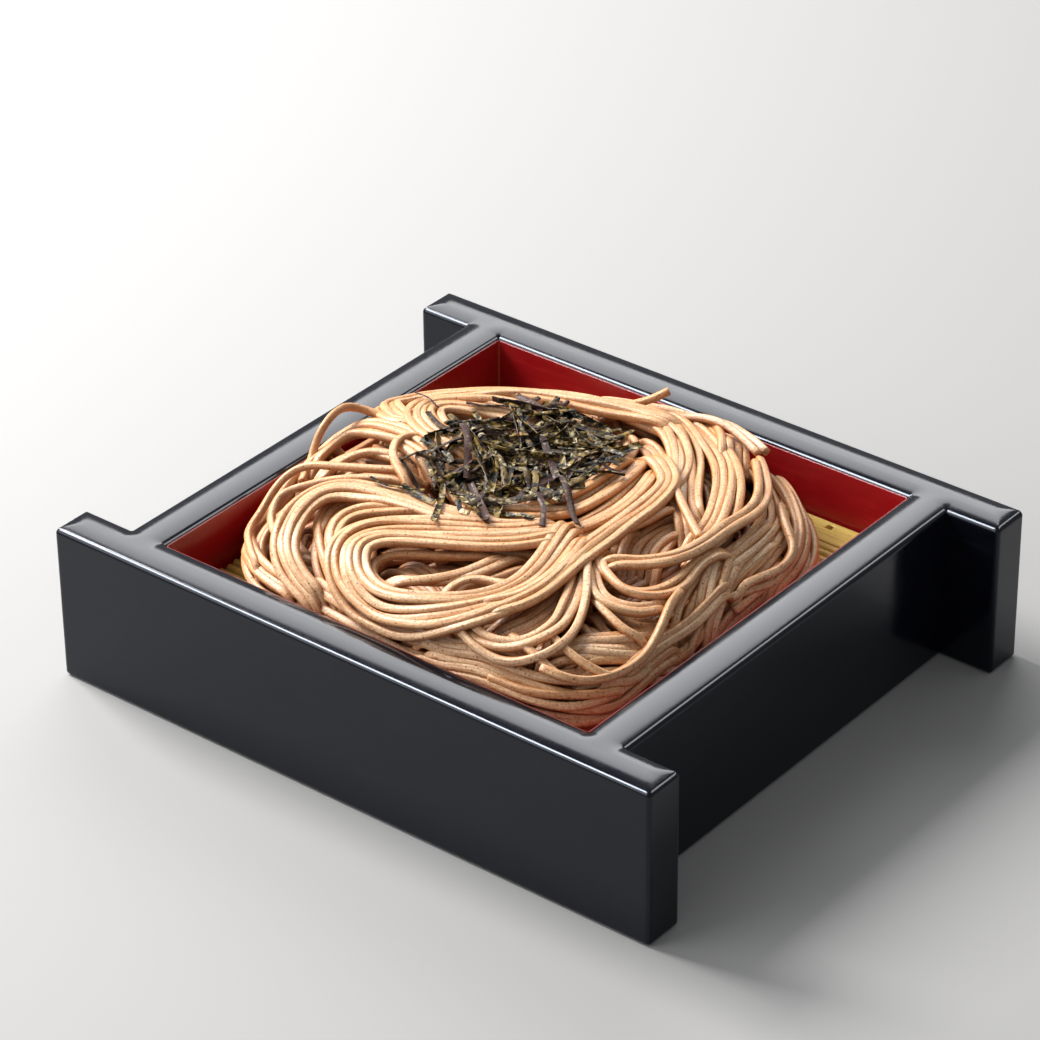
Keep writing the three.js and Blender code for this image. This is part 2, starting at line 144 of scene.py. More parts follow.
def smooth_line(points: tuple[tuple[float, ...], ...] | Array, step: float) -> Array:
    """A smooth line through the points (centripetal Catmull-Rom), evenly sampled.

    Args:
        points: The points that it passes.
        step: Distance between samples.

    Returns:
        The samples, one row each.
    """
    per_span = 12
    p = np.asarray(points, float)
    p = np.vstack([2 * p[0] - p[1], p, 2 * p[-1] - p[-2]])
    knots = np.concatenate([[0], np.cumsum(np.sqrt(np.linalg.norm(np.diff(p, axis=0), axis=1)))])
    spans = []
    for i in range(1, len(p) - 2):
        t0, t1, t2, t3 = knots[i - 1:i + 3]
        t = np.linspace(t1, t2, per_span, endpoint=i == len(p) - 3)[:, None]
        a = ((t1 - t) * p[i - 1] + (t - t0) * p[i]) / (t1 - t0)
        b = ((t2 - t) * p[i] + (t - t1) * p[i + 1]) / (t2 - t1)
        c = ((t3 - t) * p[i + 1] + (t - t2) * p[i + 2]) / (t3 - t2)
        ab = ((t2 - t) * a + (t - t0) * b) / (t2 - t0)
        bc = ((t3 - t) * b + (t - t1) * c) / (t3 - t1)
        spans.append(((t2 - t) * ab + (t - t1) * bc) / (t2 - t1))
    return resampled(np.vstack(spans), step)


def unit_rows(rows: Array) -> Array:
    """Each row scaled to length 1."""
    return rows / np.maximum(np.linalg.norm(rows, axis=1, keepdims=True), TINY)


@dataclass(frozen=True)
class Drift:
    """A slow random swing along a strand: how far it goes, and the length over which it does."""

    far: float
    length: float

    def at(self, rng: Rng, along: Array) -> Array:
        """The swing at each place along: a wave and a weaker one, of random length."""
        shares, shortest, longest = (0.6, 0.4), 0.6, 1.5
        waves = np.zeros_like(along)
        for share in shares:
            length = self.length * rng.uniform(shortest, longest)
            waves += share * np.sin(TAU * (along / length + rng.random()))
        return self.far * waves


# ---------- meshes ----------


@dataclass
class Surface:
    """Vertices, quads and triangles that become one piece."""

    points: list[Array] = field(default_factory=list)
    quads: list[Array] = field(default_factory=list)
    triangles: list[Array] = field(default_factory=list)
    lay: list[Array] = field(default_factory=list)
    tone: list[Array] = field(default_factory=list)
    shade: list[Array] = field(default_factory=list)
    size: int = 0

    def add(self, points: Array, quads: Array, triangles: Array | None = None,
            lay: Array | None = None, tone: float = 0.5, shade: Array | None = None) -> None:
        """Adds a patch.

        Args:
            points: Its vertices in millimetres.
            quads: Rows of four vertex numbers, counted within the patch.
            triangles: Rows of three vertex numbers.
            lay: For each vertex, the place along and round a strand.
            tone: A number from 0 to 1 that the finish varies its colour by.
            shade: For each vertex, how much painted shade it gets, for lying on a strand's underside or deep among the
                others, from 0 to 1.
        """
        self.points.append(points)
        self.quads.append(quads.reshape(-1, 4) + self.size)
        if triangles is not None:
            self.triangles.append(triangles.reshape(-1, 3) + self.size)
        self.lay.append(np.zeros_like(points) if lay is None else lay)
        self.tone.append(np.full(len(points), tone))
        self.shade.append(np.zeros(len(points)) if shade is None else shade)
        self.size += len(points)

    def piece(self, name: str, material: Material, slot: Slot, *nodes: str) -> Piece:
        """Makes the object, which rides on the body and stands for the CAD nodes.

        Args:
            name: The piece's name.
            material: Its finish.
            slot: The record's slot of that finish; not used.
            *nodes: The CAD nodes that it replaces.

        Returns:
            The new object.
        """
        quads = np.vstack(self.quads)
        triangles = np.vstack(self.triangles) if self.triangles else np.zeros((0, 3), int)
        mesh = bpy.data.meshes.new(name)
        mesh.vertices.add(self.size)
        mesh.vertices.foreach_set("co", (np.vstack(self.points) * MM).astype(np.float32).ravel())
        corners = np.concatenate([quads.ravel(), triangles.ravel()])
        mesh.loops.add(len(corners))
        mesh.loops.foreach_set("vertex_index", corners.astype(np.int32))
        sides = np.concatenate([np.full(len(quads), 4), np.full(len(triangles), 3)])
        starts = np.concatenate([[0], np.cumsum(sides)[:-1]])
        mesh.polygons.add(len(sides))
        mesh.polygons.foreach_set("loop_start", starts.astype(np.int32))
        mesh.polygons.foreach_set("use_smooth", np.ones(len(sides), bool))
        mesh.update(calc_edges=True)
        mesh.validate()
        place = mesh.attributes.new("lay", "FLOAT_VECTOR", "POINT")
        place.data.foreach_set("vector", np.vstack(self.lay).astype(np.float32).ravel())
        for label, values in (("tone", self.tone), ("shade", self.shade)):
            attribute = mesh.attributes.new(label, "FLOAT", "POINT")
            attribute.data.foreach_set("value", np.concatenate(values).astype(np.float32))
        mesh.materials.append(material)
        return dressed(bpy.data.objects.new(name, mesh), slot, *nodes)


def dressed(piece: Piece, slot: Slot, *nodes: str) -> Piece:
    """Links a piece, lets it ride on the body and hides the nodes that it replaces."""
    bpy.context.scene.collection.objects.link(piece)
    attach(piece, BODY)
    if nodes:
        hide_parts(*nodes)
    return piece


def capped(rings: Array, first: Array, last: Array) -> tuple[Array, Array, Array]:
    """Rings of vertices, joined by quads and closed by a fan at each end. They run counterclockwise to face out.

    Args:
        rings: The rings, (n, m, 3).
        first: Middle of the fan that closes the first ring.
        last: Middle of the fan that closes the last ring.

    Returns:
        Vertices, quads and triangles.
    """
    count, sides = rings.shape[:2]
    around = np.arange(sides)
    after = (around + 1) % sides
    below = np.arange(count - 1)[:, None] * sides
    above, far = below + sides, (count - 1) * sides
    quads = np.stack([below + around, below + after, above + after, above + around], axis=-1).reshape(-1, 4)
    start = np.stack([np.full(sides, count * sides), after, around], axis=1)
    end = np.stack([np.full(sides, count * sides + 1), far + around, far + after], axis=1)
    return np.vstack([rings.reshape(-1, 3), first, last]), quads, np.vstack([start, end])


def swept(path: Array, up: Array, sections: Array) -> tuple[Array, ...]:
    """A closed strand: a section carried along a path.

    Args:
        path: Points of the middle line, (n, 3).
        up: Direction that the section's second axis leans to, everywhere or at each point, (n, 3).
        sections: Section outline, across and up, (m, 2), or one at each point, (n, m, 2).

    Returns:
        Vertices, quads and triangles, and the place of each vertex along and round the strand.
    """
    bulge, unit = 0.1, 10  # of the closed ends, and of the place along the strand
    sections = np.broadcast_to(sections, (len(path), *sections.shape[-2:]))
    ahead = unit_rows(np.gradient(path, axis=0))
    side = unit_rows(np.cross(ahead, up))
    lift = np.cross(side, ahead)
    count, sides = sections.shape[:2]
    rings = path[:, None] + sections[..., :1] * side[:, None] + sections[..., 1:] * lift[:, None]
    along = np.repeat(distances(path) / unit, sides)
    turn = np.tile(np.arange(sides) * TAU / sides, count)
    lay = np.stack([along, np.cos(turn), np.sin(turn)], axis=1)
    lay = np.vstack([lay, [lay[0, 0], 0, 0], [lay[-1, 0], 0, 0]])
    return *capped(rings, path[0] - ahead[0] * bulge, path[-1] + ahead[-1] * bulge), lay


# ---------- shader building ----------


def put(tree: Tree, kind: str, inputs: dict | None = None, **settings: object) -> Node:
    """Adds a node.

    Args:
        tree: The node tree.
        kind: The node's type, without its ShaderNode prefix.
        inputs: Input name or number to a value, or to the socket that feeds it.
        **settings: Properties of the node.

    Returns:
        The new node.
    """
    node = tree.nodes.new("ShaderNode" + kind)
    for key, value in settings.items():
        setattr(node, key, value)
    for key, value in (inputs or {}).items():
        if isinstance(value, Socket):
            tree.links.new(value, node.inputs[key])
        else:
            node.inputs[key].default_value = value
    return node


def product(tree: Tree, first: object, second: object) -> Socket:
    """Two values multiplied."""
    return put(tree, "Math", {0: first, 1: second}, operation="MULTIPLY").outputs[0]


def added(tree: Tree, first: object, second: object) -> Socket:
    """Two values added."""
    return put(tree, "Math", {0: first, 1: second}, operation="ADD").outputs[0]


def mixed(tree: Tree, share: object, first: object, second: object) -> Socket:
    """A colour that runs from first to second by share."""
    return put(tree, "Mix", {0: share, 6: first, 7: second}, data_type="RGBA").outputs[2]


def ranged(tree: Tree, value: object, low: float = 0.0, high: float = 1.0,
           to_low: float = 0.0, to_high: float = 1.0) -> Socket:
    """A value's range from low to high carried to another range, and held there."""
    inputs = {0: value, 1: low, 2: high, 3: to_low, 4: to_high}
    return put(tree, "MapRange", inputs, clamp=True).outputs[0]


def stretched(tree: Tree, place: Socket, scale: Triple) -> Socket:
    """A place scaled differently along each axis."""
    return put(tree, "Mapping", {"Vector": place, "Scale": scale}).outputs[0]


def fibres(tree: Tree, place: Socket, scale: Triple, detail: float, roughness: float = 0.5) -> Socket:
    """Noise drawn out along an axis, by its scale along each of the three."""
    vector = stretched(tree, place, scale)
    inputs = {"Vector": vector, "Scale": 1.0, "Detail": detail, "Roughness": roughness}
    return put(tree, "TexNoise", inputs).outputs["Fac"]


def colour(red: float, green: float, blue: float) -> tuple[float, ...]:
    """A colour from screen values of 0 to 255, for a shader socket."""
    def linear(value: float) -> float:
        """One channel as light."""
        share = value / 255
        return share / 12.92 if share <= 0.04045 else ((share + 0.055) / 1.055) ** 2.4
    return (linear(red), linear(green), linear(blue), 1.0)


def new_group(name: str, inputs: dict[str, float], outputs: tuple[str, ...]) -> tuple[Tree, Node, Node]:
    """Starts a node group with a vector input and value inputs and outputs.

    Args:
        name: The group's name.
        inputs: Value input names and their defaults.
        outputs: Names of the value outputs.

    Returns:
        The tree, its input node and its output node.
    """
    tree = bpy.data.node_groups.new(name, "ShaderNodeTree")
    tree.interface.new_socket("Place", in_out="INPUT", socket_type="NodeSocketVector")
    for label, default in inputs.items():
        socket = tree.interface.new_socket(label, in_out="INPUT", socket_type="NodeSocketFloat")
        socket.default_value = default
    for label in outputs:
        tree.interface.new_socket(label, in_out="OUTPUT", socket_type="NodeSocketFloat")
    return tree, tree.nodes.new("NodeGroupInput"), tree.nodes.new("NodeGroupOutput")


@dataclass(frozen=True)
class Flecks:
    """How flecks are sown: cells in a metre, a fleck's size in its cell and the share of cells that have one."""

    scale: float
    size: float
    share: float


class Effects:
    """Node groups that several finishes share, each made once."""

    def __init__(self) -> None:
        """Builds the groups."""
        self.grain = self._grain()
        self.specks = self._specks()

    def mottled(self, tree: Tree, place: Socket, scales: Pair) -> Node:
        """Puts the grain in a material, with its coarse and fine scale."""
        inputs = {"Place": place, "Coarse scale": scales[0], "Fine scale": scales[1]}
        return put(tree, "Group", inputs, node_tree=self.grain)

    def flecked(self, tree: Tree, place: Socket, flecks: Flecks) -> Socket:
        """Puts flecks in a material: 1 inside a fleck."""
        inputs = {"Place": place, "Scale": flecks.scale, "Size": flecks.size, "Share": flecks.share}
        return put(tree, "Group", inputs, node_tree=self.specks).outputs["Mask"]

    @staticmethod
    def _grain() -> Tree:
        """Two sizes of soft mottling: Coarse, Fine, and Both together."""
        details = {"Coarse": 2.0, "Fine": 3.0}
        tree, given, result = new_group("soft_grain", {"Coarse scale": 200.0, "Fine scale": 1500.0},
                                        (*details, "Both"))
        sizes = []
        for label, detail in details.items():
            inputs = {"Vector": given.outputs["Place"], "Scale": given.outputs[label + " scale"], "Detail": detail}
            sizes.append(put(tree, "TexNoise", inputs).outputs["Fac"])
            tree.links.new(sizes[-1], result.inputs[label])
        tree.links.new(product(tree, added(tree, *sizes), 0.5), result.inputs["Both"])
        return tree

    @staticmethod
    def _specks() -> Tree:
        """Scattered small flecks of different sizes with soft edges: Mask is 1 inside a fleck."""
        size_span, least, soft_from = 0.75, 0.25, 0.5
        tree, given, result = new_group("specks", {"Scale": 1000.0, "Size": 0.2, "Share": 0.3}, ("Mask",))
        cells = put(tree, "TexVoronoi", {"Vector": given.outputs["Place"], "Scale": given.outputs["Scale"]})
        draw = put(tree, "SeparateColor", {0: cells.outputs["Color"]})
        chosen = put(tree, "Math", {0: draw.outputs[0], 1: given.outputs["Share"]}, operation="LESS_THAN")
        wide = put(tree, "Math", {0: draw.outputs[1], 1: size_span, 2: least}, operation="MULTIPLY_ADD")
        reach = product(tree, wide.outputs[0], given.outputs["Size"])
        inner = product(tree, reach, soft_from)
        near = put(tree, "MapRange", {0: cells.outputs["Distance"], 1: inner, 2: reach, 3: 1.0, 4: 0.0})
        tree.links.new(product(tree, near.outputs[0], chosen.outputs[0]), result.inputs["Mask"])
        return tree


class Finish:
    """What the finishes of the pieces have in common."""

    name: str
    roughness: float
    uneven: Span  # of a value, to shares of the roughness

    def start(self) -> tuple[Material, Tree, Node, Socket]:
        """An empty node material with its Principled shader, and the place on the piece."""
        material = bpy.data.materials.new(self.name)
        material.use_nodes = True
        tree = material.node_tree
        return material, tree, tree.nodes["Principled BSDF"], put(tree, "TexCoord").outputs["Object"]

    def feed(self, tree: Tree, shader: Node, tint: Socket, unevenness: Socket, relief: Socket, depth: float) -> None:
        """Joins the shader to what it shows.

        Args:
            tree: The material's tree.
            shader: Its Principled shader.
            tint: The colour.
            unevenness: What the roughness varies with.
            relief: Height of the surface's relief, 0 to 1.
            depth: Depth of that relief in millimetres.
        """
        low, high, least, most = self.uneven
        rough = ranged(tree, unevenness, low, high, self.roughness * least, self.roughness * most)
        bump = put(tree, "Bump", {"Strength": 1.0, "Distance": depth * MM, "Height": relief}).outputs[0]
        for label, socket in (("Base Color", tint), ("Roughness", rough), ("Normal", bump), ("Coat Normal", bump)):
            tree.links.new(socket, shader.inputs[label])


def attribute(tree: Tree, name: str) -> Socket:
    """A number that the mesh holds for each vertex."""
    return put(tree, "Attribute", attribute_name=name).outputs["Fac"]


# ---------- finishes ----------


@dataclass(frozen=True)
class LacquerFinish(Finish):
    """Polished lacquer, faintly wavy, with fine rubbing marks and a little dust."""

    name: str
    base: Triple
    worn: Triple
    gloss: Triple = (1.0, 1.0, 1.0)
    roughness: float = 0.13
    uneven: Span = (0.35, 0.65, 0.8, 1.35)
    index: float = 1.4
    grain: Pair = (90.0, 1400.0)
    wave_depth: float = 0.012
    rubbing: Triple = (60.0, 2400.0, 500.0)
    rubbing_detail: float = 3.0
    rubbed: Pair = (0.52, 0.78)
    dust: Flecks = Flecks(420.0, 0.07, 0.1)
    dust_tint: Triple = (88, 88, 88)

    def make(self, effects: Effects) -> Material:
        """Builds the material."""
        material, tree, shader, place = self.start()
        grain = effects.mottled(tree, place, self.grain)
        marks = ranged(tree, fibres(tree, place, self.rubbing, self.rubbing_detail), *self.rubbed)
        tint = mixed(tree, marks, colour(*self.base), colour(*self.worn))
        tint = mixed(tree, effects.flecked(tree, place, self.dust), tint, colour(*self.dust_tint))
        self.feed(tree, shader, tint, grain.outputs["Both"], grain.outputs["Coarse"], self.wave_depth)
        shader.inputs["IOR"].default_value = self.index
        shader.inputs["Specular Tint"].default_value = (*self.gloss, 1.0)
        return material


@dataclass(frozen=True)
class BambooFinish(Finish):
    """Split bamboo: long fibres, sticks of different tone and a few flecks."""

    name: str = "split_bamboo"
    pale: Triple = (228, 202, 112)
    deep: Triple = (176, 144, 60)
    fleck: Triple = (112, 78, 34)
    roughness: float = 0.42
    uneven: Span = (0.3, 0.7, 0.85, 1.3)
    fibre: Triple = (45.0, 2600.0, 2600.0)
    fibre_detail: float = 4.0
    fibre_roughness: float = 0.6
    fibre_range: Pair = (0.3, 0.7)
    fibre_depth: float = 0.12
    stick: Triple = (9.0, 190.0, 1.0)
    stick_range: Pair = (0.35, 0.65)
    dots: Flecks = Flecks(900.0, 0.3, 0.12)
    dot_shape: Triple = (0.3, 1.0, 1.0)

    def make(self, effects: Effects) -> Material:
        """Builds the material."""
        material, tree, shader, place = self.start()
        fibre = fibres(tree, place, self.fibre, self.fibre_detail, self.fibre_roughness)
        sticks = fibres(tree, place, self.stick, 1.0)
        share = product(tree, ranged(tree, fibre, *self.fibre_range), ranged(tree, sticks, *self.stick_range))
        tint = mixed(tree, share, colour(*self.pale), colour(*self.deep))
        dots = effects.flecked(tree, stretched(tree, place, self.dot_shape), self.dots)
        self.feed(tree, shader, mixed(tree, dots, tint, colour(*self.fleck)), fibre, fibre, self.fibre_depth)
        return material


@dataclass(frozen=True)
class NoodleFinish(Finish):
    """Wet buckwheat noodle: warm beige, streaked along its length, with dark flecks of hull, painted shade on
    undersides and in the heap's hollows, and a painted orange glow at its edges.
    """

    name: str = "buckwheat_noodle"
    pale: Triple = (246, 215, 176)
    tan: Triple = (232, 183, 131)
    brown: Triple = (176, 106, 46)
    # painted shade: the deep orange-brown that strand undersides and strands deep in the heap are turned to
    painted_hollow_shade: Triple = (142, 72, 18)
    # painted light: the orange that a strand's edges turn to as they face away, for glow through it and shade at its
    # sides
    painted_edge_glow: Triple = (224, 142, 54)
    fleck: Triple = (122, 60, 18)
    roughness: float = 0.46
    uneven: Span = (0.3, 0.7, 0.8, 1.3)
    index: float = 1.45
    soak: float = 0.16
    soak_reach: Triple = (1.8, 1.1, 0.6)
    wet: float = 0.6
    wet_roughness: float = 0.3
    wet_index: float = 1.4
    grain: Pair = (160.0, 1250.0)
    streak: Triple = (0.9, 3.6, 3.6)
    streak_detail: float = 3.0
    streak_roughness: float = 0.65
    veins: Span = (0.4, 0.68, 0.0, 0.6)
    blotches: Span = (0.4, 0.7, 0.0, 0.25)
    mottling: Span = (0.46, 0.7, 0.0, 0.5)
    painted_edge_blend: float = 0.35
    edges: Span = (0.25, 0.9, 0.0, 0.75)
    # how the painted shade value is carried to that colour
    hollows: Span = (0.05, 1.0, 0.0, 0.8)
    dots: Flecks = Flecks(1300.0, 0.5, 0.6)
    dot_strength: float = 0.6
    hulls: Flecks = Flecks(800.0, 0.34, 0.75)
    hull_strength: float = 0.85
    relief_depth: float = 0.14

    def make(self, effects: Effects) -> Material:
        """Builds the material."""
        material, tree, shader, place = self.start()
        lay = put(tree, "Attribute", attribute_name="lay").outputs["Vector"]
        grain = effects.mottled(tree, place, self.grain)
        streak = fibres(tree, lay, self.streak, self.streak_detail, self.streak_roughness)
        # painted light: facing edges turn orange, standing in for glow through the strand and shade at its sides
        edge = put(tree, "LayerWeight", {"Blend": self.painted_edge_blend}).outputs["Facing"]
        tint = mixed(tree, ranged(tree, attribute(tree, "tone")), colour(*self.pale), colour(*self.tan))
        for value, span, over in ((streak, self.veins, self.brown),
                                  (grain.outputs["Coarse"], self.blotches, self.brown),
                                  (grain.outputs["Fine"], self.mottling, self.brown),
                                  (edge, self.edges, self.painted_edge_glow),
                                  (attribute(tree, "shade"), self.hollows, self.painted_hollow_shade)):
            tint = mixed(tree, ranged(tree, value, *span), tint, colour(*over))
        for flecks, strength, over in ((self.dots, self.dot_strength, self.brown),
                                       (self.hulls, self.hull_strength, self.fleck)):
            tint = mixed(tree, product(tree, effects.flecked(tree, place, flecks), strength), tint, colour(*over))
        relief = added(tree, streak, grain.outputs["Fine"])
        self.feed(tree, shader, tint, grain.outputs["Fine"], relief, self.relief_depth)
        for label, value in (("IOR", self.index), ("Coat Weight", self.wet), ("Coat Roughness", self.wet_roughness),
                             ("Coat IOR", self.wet_index), ("Subsurface Weight", self.soak),
                             ("Subsurface Radius", tuple(value * MM for value in self.soak_reach)),
                             ("Subsurface Scale", 1.0)):
            shader.inputs[label].default_value = value
        return material


@dataclass(frozen=True)
class NoriFinish(Finish):
    """Toasted nori: near-black with violet and olive patches, painted pale glints and a crinkled sheen."""

    name: str = "toasted_nori"
    dark: Triple = (9, 7, 4)
    violet: Triple = (76, 54, 50)
    olive: Triple = (150, 124, 62)
    # painted highlight: the pale colour of glints on the crinkles
    glint: Triple = (222, 206, 166)
    roughness: float = 0.36
    uneven: Span = (0.3, 0.7, 0.6, 1.5)
    sheen: float = 0.2
    grain: Pair = (230.0, 800.0)
    glint_grain: Pair = (210.0, 620.0)
    clouds: Span = (0.48, 0.66, 0.0, 0.4)
    purple: Span = (0.42, 0.1, 0.0, 0.9)  # by the strip's tone
    patches: Pair = (0.48, 0.58)
    patched: Pair = (0.2, 0.9)  # by the strip's tone
    glint_span: Span = (0.55, 0.64, 0.0, 0.9)
    glint_by_tone: Span = (0.0, 0.8, 0.2, 1.0)  # by the strip's tone
    relief_depth: float = 0.5

    def make(self, effects: Effects) -> Material:
        """Builds the material."""
        material, tree, shader, place = self.start()
        tone = attribute(tree, "tone")
        grain = effects.mottled(tree, place, self.grain)
        glint_grain = effects.mottled(tree, place, self.glint_grain).outputs["Both"]
        clouds = ranged(tree, grain.outputs["Coarse"], *self.clouds)
        tint = mixed(tree, clouds, colour(*self.dark), colour(*self.violet))
        # partly the nori's own violet-brown and partly a painted sheen: whole strips of low tone turn violet
        tint = mixed(tree, ranged(tree, tone, *self.purple), tint, colour(*self.violet))
        olive = product(tree, ranged(tree, grain.outputs["Both"], *self.patches), ranged(tree, tone, *self.patched))
        tint = mixed(tree, olive, tint, colour(*self.olive))
        # painted highlight: pale glints in small patches, with more of them on strips of higher tone
        pale = product(tree, ranged(tree, glint_grain, *self.glint_span), ranged(tree, tone, *self.glint_by_tone))
        tint = mixed(tree, pale, tint, colour(*self.glint))
        self.feed(tree, shader, tint, grain.outputs["Fine"], grain.outputs["Both"], self.relief_depth)
        shader.inputs["Specular IOR Level"].default_value = self.sheen
        return material


@dataclass(frozen=True)
class FloorFinish:
    """Plain pale matt floor."""

    name: str = "pale_floor"
    base: Triple = (166, 166, 166)
    roughness: float = 0.7

    def make(self) -> Material:
        """Builds the material."""
        material = bpy.data.materials.new(self.name)
        material.use_nodes = True
        shader = material.node_tree.nodes["Principled BSDF"]
        shader.inputs["Base Color"].default_value = colour(*self.base)
        shader.inputs["Roughness"].default_value = self.roughness
        return material


# ---------- the view ----------


@dataclass(frozen=True)
class View:
    """The view that the dish is shown in. Places that are given as seen are worked out from it.

    A seen point is in pixels from the view's top left.
    """

    place: Triple = (698.908, -876.547, 747.818)
    azimuth: float = 38.8786
    elevation: float = 31.789
    roll: float = -0.5926
    lens: float = 149.45
    sensor: float = 36.0
    side: float = 1040.0  # in pixels
    near: float = 1180.0  # the dish lies between these distances
    far: float = 1520.0
    step: float = 0.25

    def axes(self) -> Array:
        """Its right, up and back, one row each."""
        a, e, r = (math.radians(value) for value in (self.azimuth, self.elevation, self.roll))
        back = np.array([math.sin(a) * math.cos(e), -math.cos(a) * math.cos(e), math.sin(e)])
        level = np.array([math.cos(a), math.sin(a), 0.0])
        rise = np.cross(back, level)
        return np.array([level * math.cos(r) + rise * math.sin(r), rise * math.cos(r) - level * math.sin(r), back])

    def ways(self, seen: Line) -> Array:
        """Which way each seen point lies, one step away from the view."""
        right, up, back = self.axes()
        offset = (np.array(seen, float) - self.side / 2) * self.sensor / (self.lens * self.side)
        return offset[:, :1] * right - offset[:, 1:] * up - back

    def landed(self, seen: Line, gap: Callable[[Array], Array]) -> Array:
        """Where seen points lie on a surface, or pass nearest to it.

        Args:
            seen: The points.
            gap: How far above the surface places are.

        Returns:
            The places in plan, one row each.
        """
        away = np.arange(self.near, self.far, self.step)
        places = np.array(self.place) + self.ways(seen)[:, None] * away[:, None]
        above = gap(places)
        under = above < 0
        first = np.where(under.any(axis=1), under.argmax(axis=1), above.argmin(axis=1))
        return places[np.arange(len(first)), first, :2]

    def across(self, seen: Line, x: float) -> Array:
        """Where seen points lie in the upright plane at x."""
        ways = self.ways(seen)
        return np.array(self.place) + ways * ((x - self.place[0]) / ways[:, :1])


VIEW = View()


# ---------- the heap ----------


@dataclass(frozen=True)
class HeapShape:
    """The outer form of the noodle heap: a flat dome on a rounded square whose sides differ."""

    base: float = 34.8
    rise: float = 33.0
    half_x: float = 80.0
    half_y: float = 79.0
    squareness: float = 3.5  # exponent of the rounded square in plan: 2 would be an ellipse
    squarer: Triple = (1.0, -1.85, -0.8)  # how the exponent changes to the right, the back and the back right
    lean: Triple = (0.12, 0.38, 0.018)  # where it leans on the front board, how widely and how far out
    gentle: Span = (0.63, -0.78, 0.6, 1.3)  # which way it ends gently: right, back, start and span
    gentle_lean: float = 0.5  # how much less gently where it leans
    inner: Pair = (2.2, -0.7)  # the dome's exponents where it ends steeply, and their change
    outer: Pair = (0.24, 0.34)  # to where it ends gently
    steepest: float = 3.0
    outside: float = 400.0  # distance that stands for a whole reach outside the outline

    def outline(self, plan: Array) -> tuple[Array, Array, Array]:
        """How square the outline is, how far out it lies and how gentle the slope is, each way from the middle."""
        distance = np.hypot(plan[..., 0], plan[..., 1]) + TINY
        c, s = plan[..., 0] / distance, plan[..., 1] / distance
        right, back, back_right = self.squarer
        exponent = self.squareness + right * c + back * s + back_right * c * s
        size = np.abs(c / self.half_x) ** exponent + np.abs(s / self.half_y) ** exponent
        place, width, out = self.lean
        leaning = np.exp(-((c - place) / width) ** 2) * smooth(-s)
        radius = np.maximum(size, TINY ** 2) ** (-1 / exponent) * (1 + out * leaning)
        right, back, start, span = self.gentle
        gentleness = smooth((right * c + back * s + start) / span)
        return exponent, radius, gentleness * (1 - self.gentle_lean * leaning)

    def reach(self, plan: Array) -> Array:
        """How far out a place is, as a share of the outline."""
        return np.hypot(plan[..., 0], plan[..., 1]) / self.outline(plan)[1]

    def top(self, plan: Array) -> Array:
        """Height of the noodles' tops."""
        exponent, radius, gentle = self.outline(plan)
        share = np.clip(np.hypot(plan[..., 0], plan[..., 1]) / radius, 0, 1) ** exponent
        inner, outer = (steep + change * gentle for steep, change in (self.inner, self.outer))
        return self.base + self.rise * (1 - share ** inner) ** outer

    def slope(self, plan: Array) -> Array:
        """Gradient of the top, held to the steepest slope."""
        rises = [(self.top(plan + step) - self.top(plan - step)) / (2 * FINE) for step in np.eye(2) * FINE]
        gradient = np.stack(rises, axis=-1)
        size = np.linalg.norm(gradient, axis=-1, keepdims=True)
        return gradient * np.minimum(1, self.steepest / np.maximum(size, TINY))

    def landed(self, seen: Line, height: Callable[[Array], Array]) -> Array:
        """Where seen points lie on the heap, or pass nearest to it, in plan.

        Args:
            seen: The points.
            height: How high the heap's surface counts as being, by place in plan.

        Returns:
            The places, one row each.
        """
        def gap(places: Array) -> Array:
            """How far places are above the surface, and much further outside the heap or below it."""
            plan = places[..., :2]
            outside = self.outside * np.maximum(self.reach(plan) - 1, 0)
            return np.where(places[..., 2] > self.base, places[..., 2] - height(plan) + outside, np.inf)

        return VIEW.landed(seen, gap)

    def pulled_in(self, plan: Array, limit: float) -> tuple[Array, Array]:
        """Brings places within a share of the outline.

        Args:
            plan: The places, (n, 2).
            limit: The largest share.

        Returns:
            The places, and how far each one was moved.
        """
        share = self.reach(plan)
        kept = np.minimum(1, limit / np.maximum(share, TINY))
        return plan * kept[:, None], np.linalg.norm(plan, axis=1) * (1 - kept)


